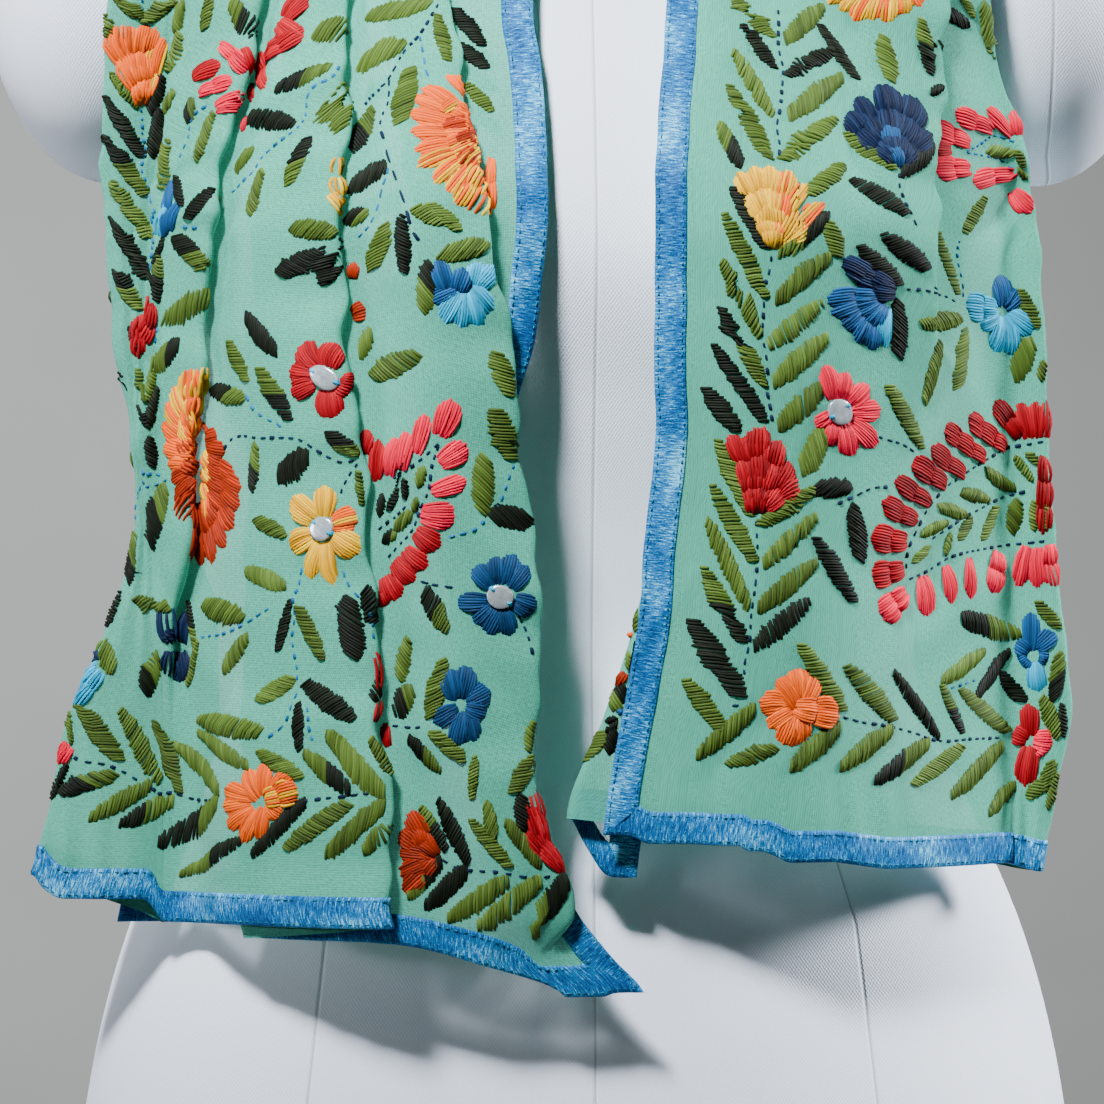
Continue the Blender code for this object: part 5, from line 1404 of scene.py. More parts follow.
# ---- trimmings ------------------------------------------------------------------------------------
@dataclass
class Binding:
    """Satin ribbon sewn flat on the right side along all four edges, mitred at the corners."""
    shawl: Shawl
    finish: SatinRibbon = SatinRibbon()
    width: float = 11.0
    rise: float = 0.95
    pucker: float = 0.22
    ripples: tuple[tuple[float, float], ...] = ((1.0, 2.9), (0.8, 1.7), (0.7, 5.3))     # size and length
    # outline across the ribbon: share of its width, and share of its rise
    share: tuple[float, ...] = (0, 0, 0.03, 0.12, 0.3, 0.5, 0.7, 0.88, 0.97, 1.0, 1.0)
    height: tuple[float, ...] = (-0.35, 0.35, 0.8, 0.88, 1.0, 1.0, 1.0, 0.88, 0.8, 0.35, 0.05)
    past: tuple[float, float] = (0.9, 2.5)      # how far short of the mitre line the near and far ribbons end
    short: float = 0.5           # how much narrower the hem ribbons are than the cloth
    lap: float = 0.12            # how much higher the hem ribbons lie

    def profile(self) -> tuple[Array, Array]:
        """Across the ribbon: distance from the cloth's edge, and height above the cloth."""
        return np.array(self.share) * self.width, np.array(self.height) * self.rise

    def puckers(self, along: Array, phase: float) -> Array:
        """Uneven low ripples where the stitching draws the ribbon in: sines of odd lengths."""
        return self.pucker * sum(size * np.sin(along / long + k * phase)
                                 for k, (size, long) in enumerate(self.ripples, 1))

    def piece(self, name: str, points: Array, along: Array, across: Array, *nodes: str) -> bpy.types.Object:
        """Make one ribbon; u of its texture runs along it and v across it, in metres.

        Args:
            name: name of the piece.
            points: grid of points, rows along and columns across.
            along: length at each point.
            across: distance across at each point.
            nodes: CAD nodes that it stands for.
        Returns:
            The new object.
        """
        uv = np.stack(np.broadcast_arrays(along, across), -1).reshape(-1, 2) * 0.001
        piece = make_piece(name, points.reshape(-1, 3), quads_of(*points.shape[:2]),
                           self.finish.material(), uv)
        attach(piece, "root")
        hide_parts(*nodes)
        return piece

    def selvage(self, far: bool, steps: int = 640) -> bpy.types.Object:
        """Ribbon along one selvage from hem to hem; its ends run a little past the mitre, under the hem's.

        The texture runs on by the distance along the middle line and by the distance ahead of it, so its
        painted sheen streaks lie straight across the ribbon.

        Args:
            far: whether it is the far selvage.
            steps: rows of the grid.
        Returns:
            The new object.
        """
        s, h = self.profile()
        shawl = self.shawl
        width = shawl.across[:, -1:]
        col = find_along(shawl.across, width - s[None, :] if far else 0 * width + s[None, :])
        rows = np.arange(len(width), dtype=float)
        length = bilinear(shawl.along, rows[:, None] + 0 * col, col)
        past = np.maximum(s - self.past[far], 0.0)
        first = find_along(length.T, past[:, None])[:, 0]
        last = find_along(length.T, (length[-1] - past)[:, None])[:, 0]
        row = lerp(first[None, :], last[None, :], np.linspace(0, 1, steps)[:, None])
        at = bilinear(col, row, np.arange(len(s))[None, :] + 0 * row)
        along = bilinear(length, row, np.arange(len(s))[None, :] + 0 * row)
        mid = np.sin(np.pi * np.clip(s / self.width, 0, 1))
        lift = h + self.puckers(along, 1.0 + far) * mid
        points = bilinear(shawl.points, row, at) + unit(bilinear(shawl.normals, row, at)) * lift[..., None]
        spine = points[:, len(s) // 2]
        run = unit(np.gradient(spine, axis=0))
        way = np.concatenate([[0], np.cumsum(np.linalg.norm(np.diff(spine, axis=0), axis=1))])
        along = way[:, None] + ((points - spine[:, None]) * run[:, None]).sum(-1)
        if far:
            points, along, s = points[:, ::-1], along[:, ::-1], s[::-1]
        key = "outer" if far else "inner"
        nodes = (f"binding_{key}_{stretch}" for stretch in ("left", "neck", "right"))
        return self.piece(f"ribbon_{key}", points, along, s, *nodes)

    def hem(self, chart: ClothChart, right: bool, steps: int = 420) -> bpy.types.Object:
        """Ribbon along one hem between the mitre lines.

        Args:
            chart: flat map measured from that hem.
            right: whether it is the right hem.
            steps: rows of the grid.
        Returns:
            The new object.
        """
        t, h = self.profile()
        total = chart.width - self.short
        s = lerp(t[None, :], total - t[None, :], np.linspace(0, 1, steps)[:, None])
        mid = np.sin(np.pi * np.clip(t / self.width, 0, 1))
        lift = h + self.lap + self.puckers(s, 2.0 + right) * mid
        points = chart.lift(s, t[None, :] + 0 * s, lift)
        if not right:
            points, s = points[::-1], s[::-1]
        key = "right" if right else "left"
        return self.piece(f"ribbon_hem_{key}", points, s, t, f"binding_hem_{key}")

    def build(self) -> None:
        """All four ribbons."""
        left, right = self.shawl.charts()
        self.selvage(False)
        self.selvage(True)
        self.hem(left, False)
        self.hem(right, True)


@dataclass
class Needlework:
    """Stitches gathered by skein: each is a low half tube that starts and ends in the cloth."""
    shawl: Shawl
    seed: int = 11
    thread: float = 1.24         # width of a laid stitch
    relief: float = 0.86         # its height
    pitch: float = 1.17          # distance from stitch to stitch along a leaf
    stray: float = 1.6           # a leaf that can't be laid straight within this follows the chart
    slant: tuple[float, float] = (54.0, 7.0)    # degrees between a leaf and its stitches, and their spread
    plain: tuple[float, float] = (0.0, 0.15)    # middle and spread of the tone round a leaf's or petal's own
    tier: float = 10.5           # length of a tier of petal stitches
    side_by_side: float = 0.96   # distance from stitch to stitch across a petal
    cell: tuple[float, float] = (4.0, 3.0)      # reach of the slopes taken by frame and by steps
    damp: tuple[float, float] = (0.02, 0.05)    # what those two add to keep the sums from running away
    leaning: float = 0.7         # share of the leaves whose stitches slant to one side
    leaf_tone: tuple[float, float] = (0.3, 0.68)
    most: float = 2.5            # greatest move of a stitch's middle at a time
    jump: float = 7.3            # sets the strands of neighbouring stitches apart
    tones: dict[str, tuple[Skein, float]] = field(default_factory=lambda: {
        "YORANGE": (Skein.YELLOW, -0.05), "BLUEN": (Skein.BLUE, -0.3), "NAVYB": (Skein.NAVY, 0.0),
        "CRIM": (Skein.RED, -0.22), "PINK": (Skein.CORAL, 0.3)})

    def __post_init__(self) -> None:
        """Start with empty batches."""
        self.rng = np.random.default_rng(self.seed)
        self.charts = self.shawl.charts()
        self.batches: dict[Skein, list[tuple[Array, Array, Array, int, int]]] = {}
        self.marks: list[list[tuple[float, float, float]]] = [[], []]
        self.side = 1.0          # -1 works the wrong side of the cloth

    def stitch(self, chart: int, skein: Skein, start: Array, end: Array, width: Array | float,
               height: Array | float, tone: Array, bow: Array | None = None, lift: Array | float = 0.0,
               steps: int = 5, round_by: int = 5) -> None:
        """Lay many stitches at once.

        Along a stitch the line is straight plus a parabola times bow, and the height is a flat-topped
        arch. Across it the outline is a half ellipse, set square to the stitch in the tangent plane of
        the draped cloth, so a thread keeps its thickness on every fold.

        Args:
            chart: 0 measured from the left hem, 1 from the right.
            skein: the thread.
            start: first ends, as s and t.
            end: last ends.
            width: width of each stitch.
            height: height of each stitch.
            tone: lightness of each stitch, 0 to 1.
            bow: bulge of each stitch at its middle, as s and t.
            lift: height of what lies below.
            steps: points along each stitch.
            round_by: points across each stitch.
        """
        count = len(start)
        f = 0.5 - 0.5 * np.cos(np.linspace(0, np.pi, steps))
        arch = (1 - np.abs(2 * f - 1)**3)[None, :, None]
        turn = np.radians(np.linspace(-90.0, 90.0, round_by))
        bulge = np.zeros((count, 2)) if bow is None else bow
        line = (start[:, None, :] + (end - start)[:, None, :] * f[None, :, None]
                + bulge[:, None, :] * 4 * (f * (1 - f))[None, :, None])
        foot = self.charts[chart].lift(line[..., 0], line[..., 1])
        normal = (self.charts[chart].lift(line[..., 0], line[..., 1], 1.0) - foot) * self.side
        run = np.gradient(foot, axis=1)
        side = unit(np.cross(normal, run))
        length = np.linalg.norm(np.diff(foot, axis=1), axis=-1).sum(1)[:, None]
        width, height, lift = (np.broadcast_to(v, (count,))[:, None, None] for v in (width, height, lift))
        off = np.sin(turn)[None, None, :] * width / 2 * (0.82 + 0.18 * arch)
        up = (height * np.cos(turn)[None, None, :]**0.8 + lift + 0.05) * arch - 0.12 + 0 * off
        points = foot[:, :, None] + side[:, :, None] * off[..., None] + normal[:, :, None] * up[..., None]
        across = np.broadcast_to((np.sin(turn) * 0.5 + 0.5)[None, None, :] * width, off.shape)
        shift = self.jump * self.rng.random((count, 1, 1))
        uv = np.stack([length[:, :, None] * f[None, :, None] + 0 * off, across + shift], -1) * 0.001
        shade = np.broadcast_to(np.asarray(tone)[:, None, None], off.shape)
        self.batches.setdefault(skein, []).append((points.reshape(count, -1, 3), uv.reshape(count, -1, 2),
                                                   shade.reshape(count, -1), steps, round_by))

    def slopes(self, chart: int, at: Array, reach: float) -> Array:
        """Slopes of the drape along s and along t, from points on both sides.

        Args:
            chart: chart number.
            at: places as s and t.
            reach: distance of those points.
        Returns:
            A 3 x 2 matrix for each place.
        """
        around = at[:, None, :] + reach * np.array([[1, 0], [-1, 0], [0, 1], [0, -1]])
        p = self.charts[chart].lift(around[..., 0], around[..., 1])
        return np.stack([p[:, 0] - p[:, 1], p[:, 2] - p[:, 3]], -1) / (2 * reach)

    def frame(self, chart: int, middle: Array, axis: Array) -> tuple[float, Array, Array]:
        """True length of an axis drawn on the chart, and chart steps for 1 mm along and square to it.

        With G the metric of the drape (the slopes of the surface times each other), the length is the
        root of axis G axis, and the square step b solves axis G b = 0 and b G b = 1.

        Args:
            chart: chart number.
            middle: where the metric is taken, as s and t.
            axis: the axis.
        Returns:
            Length in millimetres, step along and step square to the axis.
        """
        slopes = self.slopes(chart, middle[None], self.cell[0])[0]
        metric = slopes.T @ slopes + self.damp[0] * np.eye(2)
        size = max(float(np.sqrt(axis @ metric @ axis)), 1e-6)
        pull = metric @ axis
        square = np.array([-pull[1], pull[0]])
        return size, axis / size, square / np.sqrt(square @ metric @ square)

    def fit(self, chart: int, middle: Array, reach: Array, want: Array) -> Array:
        """Lengthen or shorten half stitches drawn on the chart until their draped length is right.

        Args:
            chart: chart number.
            middle: middles of the stitches.
            reach: from each middle to its end, as s and t.
            want: true length of each whole stitch.
        Returns:
            The new reaches.
        """
        for _ in range(2):
            ends = [self.charts[chart].lift(*(middle + sign * reach).T) for sign in (-1, 1)]
            true = np.linalg.norm(ends[1] - ends[0], axis=1)
            reach = reach * np.clip(want / np.maximum(true, 1e-6), 0.6, 1.5)[:, None]
        return reach

    def steps(self, chart: int, at: Array, world: Array) -> Array:
        """Chart steps whose draped images come nearest to given moves in space.

        With S the slopes of the drape, the step solves (S'S + damp) step = S' move.  Each step is then
        averaged with its neighbours four times.

        Args:
            chart: chart number.
            at: places as s and t.
            world: one move in millimetres for each place.
        Returns:
            One step as s and t for each place.
        """
        slopes = self.slopes(chart, at, self.cell[1])
        pull = np.einsum("nij,ni->nj", slopes, world)
        metric = np.einsum("nij,nik->njk", slopes, slopes) + self.damp[1] * np.eye(2)
        return even_rows(np.linalg.solve(metric, pull[..., None])[..., 0], 4)

    def leaf(self, chart: int, base: Array, tip: Array, width: float, kind: str) -> None:
        """Satin-stitch leaf: slanted stitches laid side by side, their ends on two arcs.

        The middles are moved over the chart until they lie on a straight line in space.  Where the
        folds don't let them, they follow the chart.

        Args:
            chart: chart number.
            base: where the leaf starts, as s and t.
            tip: where it ends.
            width: full width.
            kind: L olive, D dark, M dark from the base to the middle, N dark from the middle to the tip.
        """
        base, tip = np.array(base, float), np.array(tip, float)
        axis = tip - base
        lift = self.charts[chart].lift
        ends = lift(*np.stack([base, tip], -1))
        size = max(float(np.linalg.norm(ends[1] - ends[0])), 1.0)
        count = max(4, int(round(size / self.pitch)))
        f = (np.arange(count) + 0.5) / count + self.rng.normal(0, 0.007, count)
        half = (width * 0.55 + 0.35) * np.sin(np.pi * (0.1 + 0.84 * f))**0.55
        half = half * self.rng.normal(1, 0.07, count)
        lean = np.radians(self.rng.normal(*self.slant) * (1 if self.rng.random() < self.leaning else -1))
        middle = base + axis * f[:, None]
        for _ in range(3):
            move = self.steps(chart, middle, lerp(ends[0], ends[1], f[:, None]) - lift(*middle.T))
            middle = middle + np.clip(move, -self.most, self.most)
        now = lift(*middle.T)
        normal = (lift(*middle.T, 1.0) - now) * self.side
        ahead = np.broadcast_to((ends[1] - ends[0]) / size, now.shape)
        across = np.cross(normal, ahead)
        way = self.steps(chart, middle, ahead * np.cos(lean) + across * np.sin(lean))
        if np.abs(((now - ends[0]) * across).sum(1)).max() > self.stray:
            _, ahead, square = self.frame(chart, (base + tip) / 2, axis)
            middle = base + axis * f[:, None]
            way = ahead * np.cos(lean) + square * np.sin(lean)
        long = 2 * half / np.sin(abs(lean))
        reach = self.fit(chart, middle, way * (long / 2)[:, None], long)
        dark = {"L": 0 * f > 1, "D": f > -1, "M": f < 0.52, "N": f > 0.5}[kind]
        level = self.rng.uniform(*self.leaf_tone)
        tone = np.clip(level + self.rng.normal(*self.plain, count), 0.03, 0.97)
        for skein, pick in ((Skein.LEAF, ~dark), (Skein.NIGHT, dark)):
            if pick.any():
                self.stitch(chart, skein, (middle - reach)[pick], (middle + reach)[pick], self.thread,
                            self.relief * self.rng.normal(1.0, 0.12, pick.sum()), tone[pick],
                            lift=0.25 + 0.2 * np.sin(np.pi * f[pick]), round_by=4)
        self.marks[chart].append((*((base + tip) / 2), size / 2))

    def petal(self, chart: int, base: Array, tip: Array, width: float, colour: str,
              lift: float = 0.0) -> None:
        """Petal of long stitches from its base to a rounded outer edge, spread by a bow at their middles.

        A long petal is worked in tiers, the outermost first, each lapping the last.

        Args:
            chart: chart number.
            base: inner end.
            tip: outer end.
            width: full width.
            colour: skein, or one of the mixed tones.
            lift: 1 where it lies on other petals.
        """
        skein, shift = self.tones.get(colour) or (Skein[colour], 0.0)
        base, tip = np.array(base, float), np.array(tip, float)
        axis = tip - base
        size, _, side = self.frame(chart, (base + tip) / 2, axis)
        tiers = max(1, int(round(size / self.tier)))
        for tier in range(tiers - 1, -1, -1):
            outer = tier == tiers - 1
            f0, f1 = max(0.0, (tier - 0.22) / tiers), (tier + 1) / tiers + (0.0 if outer else 0.07)
            wide = width * lerp(0.62, 1.0, f1)
            count = max(3, int(round((wide + 0.5) / self.side_by_side)))
            v = np.linspace(-1, 1, count) * (1 - 0.4 / count)
            foot = v * wide * (0.27 if f0 < 0.1 else 0.4)
            start = base + axis * (f0 + 0.07 * self.rng.random(count))[:, None] + side * foot[:, None]
            curve = (1.05 - 0.2 * v**2 if outer else 1.0 - 0.1 * v**2) - 0.07 * self.rng.random(count)
            end = base + axis * (f0 + (f1 - f0) * curve)[:, None] + side * (v * wide * 0.46)[:, None]
            rise = 0.2 + 0.55 * lift + 0.35 * (1 - v**2) + 0.3 * (tiers - 1 - tier)
            tone = np.clip(0.5 + shift + self.rng.normal(*self.plain, count), 0.02, 0.98)
            mixed = self.rng.random(count) < (0.5 if colour == "YORANGE" else 0.0)
            for pick, thread in ((~mixed, skein), (mixed, Skein.ORANGE)):
                if pick.any():
                    self.stitch(chart, thread, start[pick], end[pick], self.thread * 1.02,
                                self.relief * self.rng.normal(1.1, 0.12, pick.sum()), tone[pick],
                                bow=side * (v * wide * 0.1)[pick][:, None], lift=rise[pick], steps=6)
        self.marks[chart].append((*((base + tip) / 2), size / 2))

    def running(self, chart: int, skein: Skein, path: Array, dash: float = 2.5, gap: float = 1.5,
                width: float = 1.0, bumps: bool = True, lift: float = 0.0) -> None:
        """Running stitch along a smooth path: dashes of uneven length at even spacing.

        Args:
            chart: chart number.
            skein: the thread.
            path: points as s and t.
            dash: length of a stitch.
            gap: space between stitches.
            width: width of the thread.
            bumps: whether some stitches are fatter.
            lift: height of what lies below.
        """
        path = np.asarray(path, float)
        step = np.concatenate([[0], np.cumsum(np.hypot(*np.diff(path, axis=0).T))])
        fine = np.linspace(0, step[-1], max(8, int(step[-1])))
        slope = np.gradient(path, step, axis=0)
        i = np.clip(np.searchsorted(step, fine, side="right") - 1, 0, len(step) - 2)
        h = (step[i + 1] - step[i])[:, None]
        smooth = hermite((fine - step[i])[:, None] / h, h, (path[i], path[i + 1]), (slope[i], slope[i + 1]))
        count = max(1, int(step[-1] / (dash + gap)))
        start = (np.arange(count) + 0.15) * (dash + gap)
        size = dash * self.rng.uniform(0.75, 1.2, count)
        ends = [np.stack([np.interp(at, fine, smooth[:, k]) for k in (0, 1)], -1)
                for at in (start, start + size)]
        fat = np.where(self.rng.random(count) < 0.3, 1.45, 1.0) if bumps else np.ones(count)
        tone = np.clip(self.rng.normal(0.5, 0.16, count), 0, 1)
        self.stitch(chart, skein, *ends, width * fat, 0.56 * width * fat, tone, lift=lift, steps=4,
                    round_by=4)

    def finish(self) -> None:
        """Join each skein's stitches into one mesh, with strand lines along every stitch."""
        for skein, parts in self.batches.items():
            quads, total = [], 0
            for points, _, _, steps, round_by in parts:
                base = total + np.arange(len(points)) * points.shape[1]
                quads.append((quads_of(steps, round_by)[None] + base[:, None, None]).reshape(-1, 4))
                total += points.shape[0] * points.shape[1]
            points, uv, tone = (np.concatenate([part[k].reshape(shape) for part in parts])
                                for k, shape in enumerate(((-1, 3), (-1, 2), -1)))
            piece = make_piece(f"stitches_{skein.name.lower()}", points, np.concatenate(quads),
                               skein.value.material(), uv, {"tone": tone})
            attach(piece, "root")


@dataclass
class Embroidery:
    """The worked design: borders along the hems, flowers, paisleys, vines and mirrors."""
    shawl: Shawl
    top: float = 672.0           # how far from each hem the pattern is carried
    # machine stitching: length, gap and width of a stitch, how far in the two rows run, spacing of points
    machine: tuple[float, float, float] = (2.1, 0.55, 0.5)
    insets: tuple[float, float] = (1.35, 9.6)
    spacing: float = 12.0
    over_ribbon: tuple[float, float] = (1.2, 1.25)      # lift along the selvages and along the hems
    # borders: distance in from a selvage, step between leaf pairs, and where they and the lattice start:
    # on the near side and in the lattice by chart, and on the far side by chart
    border: float = 41.0
    pair_step: float = 14.5
    near_start: tuple[float, float] = (352.0, 330.0)
    far_start: tuple[float, float] = (120.0, 150.0)
    lattice: tuple[float, float] = (25.0, 22.0)         # spacing across and along
    lattice_edge: tuple[float, float] = (78.0, 74.0)    # distance from the near and from the far selvage
    colours: tuple[str, ...] = ("RED", "ORANGE", "CORAL", "BLUE", "YELLOW", "SKY", "YORANGE")
    # mirrors: share of the radius and height of each ring, points in a ring, directions of the two ties
    rings: tuple[float, ...] = (0.02, 0.5, 0.86, 0.97, 1.0, 1.0)
    heights: tuple[float, ...] = (1.55, 1.55, 1.5, 1.35, 1.1, 0.1)
    turns: int = 40
    ties: tuple[float, float] = (0.7, 3.6)

    def __post_init__(self) -> None:
        """Thread the needle."""
        self.work = Needlework(self.shawl)

    @staticmethod
    def rows(table: str) -> list[list[str]]:
        """Split a table into rows and fields."""
        return [row.replace(",", " ").split() for row in table.split(";")]

    def motifs(self, chart: int, leaves: str, petals: str) -> None:
        """Lay the leaves and petals of two tables.

        Args:
            chart: chart number.
            leaves: table of leaves.
            petals: table of petals.
        """
        for kind, *sizes in self.rows(leaves):
            for row in np.array(sizes, float).reshape(-1, 5):
                self.work.leaf(chart, row[:2], row[2:4], row[4], kind)
        for colour, *sizes in self.rows(petals):
            for row in np.array(sizes, float).reshape(-1, 5):
                self.work.petal(chart, row[:2], row[2:4], row[4], colour.strip("+"), float("+" in colour))

    def place_all(self) -> None:
        """Lay every leaf, petal and vine of the two charts, then those on the wrong side."""
        for chart, (leaves, petals, vines) in enumerate(((LEAVES_LEFT, PETALS_LEFT, VINES_LEFT),
                                                         (LEAVES_RIGHT, PETALS_RIGHT, VINES_RIGHT))):
            self.motifs(chart, leaves, petals)
            for colour, *path in self.rows(vines):
                points = np.array(path, float).reshape(-1, 2)
                self.work.running(chart, Skein.STEM if colour == "S" else Skein.NAVY, points)
        self.work.side = -1.0
        self.motifs(1, LEAVES_BEHIND, PETALS_BEHIND)
        self.work.side = 1.0

    def bindings(self) -> None:
        """Teal machine stitches along both edges of every ribbon."""
        for chart in (0, 1):
            wide, reach = self.work.charts[chart].width, self.work.charts[chart].reach
            t = np.arange(0.0, reach, self.spacing)
            for inset in self.insets:
                up = np.concatenate([[inset], t[(t > inset) & (t < reach - 14)]])
                across = np.linspace(inset, wide - inset, 40)
                lines = ((inset + 0 * up, up, 0), (wide - inset + 0 * up, up, 0),
                         (across, inset + 0 * across, 1))
                for s, along, hem in lines:
                    self.work.running(chart, Skein.BLIND, np.stack([s, along], -1), *self.machine, False,
                                      self.over_ribbon[hem])

    def free(self, chart: int, s: float, t: float, room: float) -> bool:
        """Whether a circle on the flat cloth is clear of all that has been worked.

        Args:
            chart: chart number.
            s: distance from the near selvage.
            t: distance from the hem.
            room: radius.
        Returns:
            True where it is clear.
        """
        marks = np.array(self.work.marks[chart])
        return bool(np.all(np.hypot(marks[:, 0] - s, marks[:, 1] - t) > marks[:, 2] * 0.8 + room))

    @staticmethod
    def heading(angle: float) -> Array:
        """Step of 1 mm on the flat cloth in the direction of an angle."""
        return np.array([np.cos(angle), np.sin(angle)])

    def bloom(self, chart: int, s: float, t: float, radius: float, colour: str, petals: int) -> None:
        """Open flower of even petals with a yellow middle.

        Args:
            chart: chart number.
            s: middle.
            t: middle.
            radius: outer radius.
            colour: thread.
            petals: number of petals.
        """
        first = self.work.rng.uniform(0, 6.28)
        middle = np.array([s, t])
        for k in range(petals):
            way = self.heading(first + 2 * np.pi * k / petals)
            self.work.petal(chart, middle + way * radius * 0.22, middle + way * radius,
                            2.1 * radius / petals + 2.6, colour)
        for k in range(3):
            way = self.heading(first + 2.1 * k) * radius * 0.25
            self.work.petal(chart, middle - way, middle + way, 2.6, "YELLOW", 1)

    def fill(self) -> None:
        """Carry the pattern on over the shoulders and round the neck.

        Two leaf borders run along the selvages, and between them a staggered lattice holds flowers and
        leaves in turn, wherever the charted motifs leave room.
        """
        for chart in (0, 1):
            for at_far in (False, True):
                self.leaf_border(chart, at_far)
            self.fill_lattice(chart)

    def leaf_border(self, chart: int, at_far: bool) -> None:
        """A running stem with leaves on both sides, along one selvage.

        Args:
            chart: chart number.
            at_far: whether it runs along the far selvage.
        """
        rng, first = self.work.rng, self.near_start[chart]
        start = self.far_start[chart] if at_far else first
        s = self.work.charts[chart].width - self.border if at_far else self.border
        path = np.arange(start, self.top, 10.0)
        tall = path[path >= first]
        if len(tall) > 2:
            self.work.running(chart, Skein.STEM, np.stack([s + 0 * tall, tall], -1))
        for t in np.arange(start, self.top - 20, self.pair_step):
            for way in (-1, 1):
                tip = (s + way * rng.uniform(15, 19), t + rng.uniform(17, 23))
                base = (s + way * 2.6, t)
                room = 5.0 if t > first else 9.0
                if self.free(chart, (base[0] + tip[0]) / 2, (base[1] + tip[1]) / 2, room):
                    kind = "LLMDNL"[int(rng.integers(6))]
                    self.work.leaf(chart, base, tip, rng.uniform(5.0, 6.6), kind)

    def fill_lattice(self, chart: int) -> None:
        """A flower at every third place of the lattice that has room for it, and else a leaf.

        Args:
            chart: chart number.
        """
        rng, wide = self.work.rng, self.work.charts[chart].width
        across, along = self.lattice
        near, far = self.lattice_edge
        count = 0
        for i, t in enumerate(np.arange(self.near_start[chart] + 8, self.top, along)):
            for s in np.arange(near + across / 2 * (i % 2), wide - far, across):
                s1, t1 = s + rng.uniform(-4, 4), t + rng.uniform(-4, 4)
                count += 1
                if count % 3 == 0 and self.free(chart, s1, t1, 11.5):
                    colour = self.colours[count // 3 % len(self.colours)]
                    self.bloom(chart, s1, t1, rng.uniform(9.5, 12.5), colour, int(rng.integers(5, 8)))
                    self.work.marks[chart].append((s1, t1, 13.0))
                elif self.free(chart, s1, t1, 7.0):
                    middle = np.array([s1, t1])
                    way = self.heading(rng.uniform(0, 3.14)) * rng.uniform(7.5, 9.5)
                    self.work.leaf(chart, middle - way, middle + way, rng.uniform(5.5, 7.5),
                                   "LLDMN"[int(rng.integers(5))])

    def mirrors(self) -> None:
        """Small glass discs: a dished ring grid, held down by thread ties at two sides."""
        grids, quads, total = [], [], 0
        turn = np.linspace(0, 2 * np.pi, self.turns, endpoint=False)[None, :]
        for chart, table in enumerate((MIRRORS_LEFT, MIRRORS_RIGHT)):
            for s, t, radius in (map(float, row) for row in self.rows(table)):
                ring = np.array(self.rings)[:, None] * radius
                grid = self.work.charts[chart].lift(s + ring * np.cos(turn), t + ring * np.sin(turn),
                                                    np.array(self.heights)[:, None] + 0 * turn)
                quads.append(quads_of(len(ring), self.turns, True) + total)
                total += grid.shape[0] * grid.shape[1]
                grids.append(grid.reshape(-1, 3))
                for side in self.ties:
                    knot = np.array([s, t]) + radius * self.heading(side) * 0.8
                    for k in range(4):
                        way = self.heading(side + 0.5 * k - 0.8) * 1.5
                        self.work.stitch(chart, Skein.SKY, (knot - way)[None], (knot + way)[None], 0.7, 0.6,
                                         np.array([0.5]), lift=1.7)
        piece = make_piece("mirror_discs", np.concatenate(grids), np.concatenate(quads),
                           MirrorGlass().material())
        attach(piece, "root")

    def build(self) -> None:
        """Work the whole design."""
        self.place_all()
        self.fill()
        self.bindings()
        self.mirrors()
        self.work.finish()


# ---- the studio -----------------------------------------------------------------------------------
@dataclass(frozen=True)
class SoftBox:
    """Square soft box: place and size in metres, power in watts, and its grid's angle in degrees."""
    name: str
    place: tuple[float, float, float]
    size: float
    power: float
    tint: str
    cone: float
    aim: tuple[float, float, float] = (0.0, 0.0, 0.36)

    def hang(self) -> None:
        """Put the light in the scene, turned to its aim."""
        data = bpy.data.lights.new(self.name, "AREA")
        data.spread = np.radians(self.cone)
        data.shape, data.size = "SQUARE", self.size
        data.energy, data.color = self.power, linear(self.tint)[:3]
        lamp = bpy.data.objects.new(self.name, data)
        lamp.location = self.place
        lamp.rotation_euler = (Vector(self.aim) - Vector(self.place)).to_track_quat("-Z", "Y").to_euler()
        bpy.context.scene.collection.objects.link(lamp)


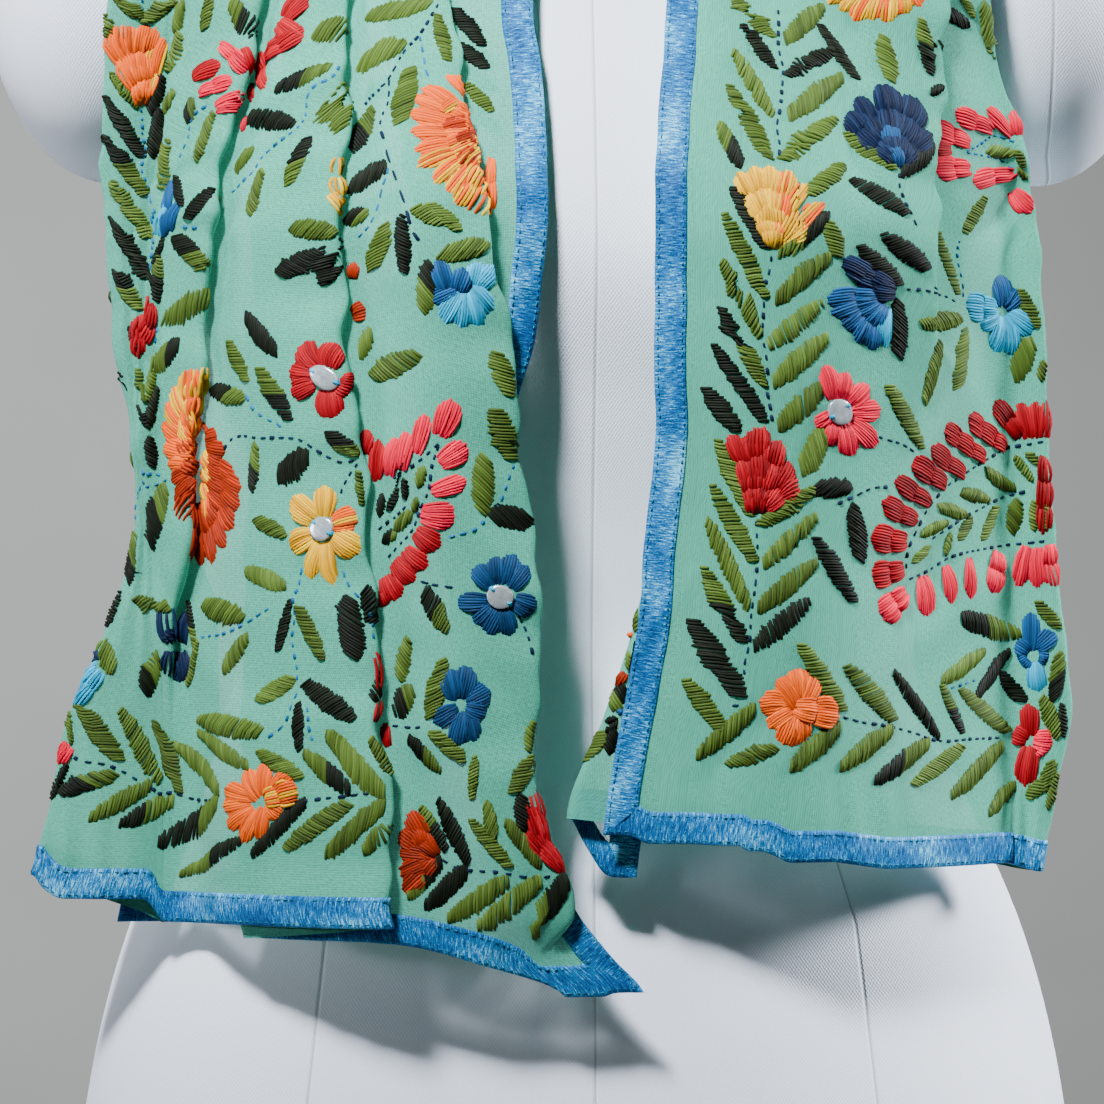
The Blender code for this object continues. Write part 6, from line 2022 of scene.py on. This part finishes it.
@dataclass
class Studio:
    """Pale seamless floor, soft lights and the camera.  Sizes are in metres."""
    distance: float = 2.6
    azimuth: float = -3.5
    aim: tuple[float, float, float] = (-0.0085, 0.0, 0.329)
    span: float = 0.3974         # width of the view at the aim
    sensor: float = 36.0         # in millimetres
    # paper: depth and height of the floor's points before the bend, the bend's start and radius, the top,
    # and half its width
    floor: tuple[tuple[float, float], ...] = ((-7.0, 0.0), (1.1, 0.0), (1.3, -0.01), (4.55, -0.345))
    bend: tuple[float, float] = (4.75, -0.362)
    bend_radius: float = 1.89
    wall_top: float = 10.0
    half_width: float = 8.0
    grain: float = 1 / 3
    paper: tuple[str, str] = ("7A7D7C", "7E8180")
    surroundings: str = "C3C7CA"
    boxes: tuple[SoftBox, ...] = (
        SoftBox("key", (-0.95, -1.7, 2.7), 0.5, 6.3, "F4F8FF", 20.0, (0.0, 0.0, 0.45)),
        SoftBox("right", (2.3, 0.15, 1.35), 0.6, 4.9, "F4F8FF", 22.0, (0.1, 0.0, 0.25)),
        SoftBox("left", (-2.3, -0.1, 0.75), 0.6, 0.9, "F4F8FF", 16.0, (-0.15, 0.0, 0.5)),
        SoftBox("paper", (-1.706, 4.115, 4.258), 1.68, 158.8, "FFFFFF", 90.0, (-0.026, 6.53, 0.478)),
        SoftBox("back", (-0.3, 1.1, 1.7), 0.8, 3.0, "FFFFFF", 60.0))

    def backdrop(self) -> None:
        """Floor of matte grey paper that dips and curves up into a wall far behind.

        The wall stands beyond any camera that looks at the back.
        """
        mat, tree, out = new_material("grey paper sweep")
        space = node(tree, "TexCoord").outputs["Object"]
        grain = node(tree, "TexNoise", None, Vector=space, Scale=1 / self.grain, Detail=3.0).outputs["Fac"]
        stops = ((0.3, self.paper[0]), (0.7, self.paper[1]))
        colour = node(tree, "ValToRGB", {"stops": stops}, Fac=grain).outputs[0]
        skin = node(tree, "BsdfPrincipled", None, Base_Color=colour, Roughness=0.9)
        tree.links.new(skin.outputs[0], out.inputs[0])
        turn = np.radians(np.linspace(0, 90, 13))
        floor_y, floor_z = np.array(self.floor).T
        y, z = self.bend
        y = np.concatenate([floor_y, y + self.bend_radius * np.sin(turn), [y + self.bend_radius]])
        z = np.concatenate([floor_z, z + self.bend_radius * (1 - np.cos(turn)), [self.wall_top]])
        x = np.array([-self.half_width, self.half_width])
        grid = np.stack(np.broadcast_arrays(x[None, :], y[:, None], z[:, None]), -1) * 1000.0
        sweep = make_piece("paper_sweep", grid.reshape(-1, 3), quads_of(len(y), 2), mat)

    def build(self) -> None:
        """Stage, lights, grey surroundings and the camera."""
        self.backdrop()
        for box in self.boxes:
            box.hang()
        world = bpy.data.worlds.new("studio")
        world.use_nodes = True
        back = world.node_tree.nodes["Background"]
        back.inputs[0].default_value = linear(self.surroundings)
        back.inputs[1].default_value = 0.02
        bpy.context.scene.world = world
        data = bpy.data.cameras.new("camera")
        data.sensor_width = self.sensor
        data.lens = self.sensor * self.distance / self.span
        camera = bpy.data.objects.new("camera", data)
        turn = np.radians(self.azimuth)
        camera.location = (self.aim[0] + self.distance * np.sin(turn), -self.distance * np.cos(turn),
                           self.aim[2])
        camera.rotation_euler = (np.pi / 2, 0, turn)
        bpy.context.scene.collection.objects.link(camera)
        bpy.context.scene.camera = camera


def main() -> None:
    """Build the form, the shawl and its trimmings, then the studio."""
    logging.basicConfig(level=logging.INFO, format="%(message)s")
    shape = FormShape()
    DressForm(shape).build()
    shawl = Shawl(FoldPlan(DrapeBed(shape)))
    shawl.shape()
    shawl.build()
    Binding(shawl).build()
    Embroidery(shawl).build()
    Studio().build()


if __name__ == "__main__":
    main()
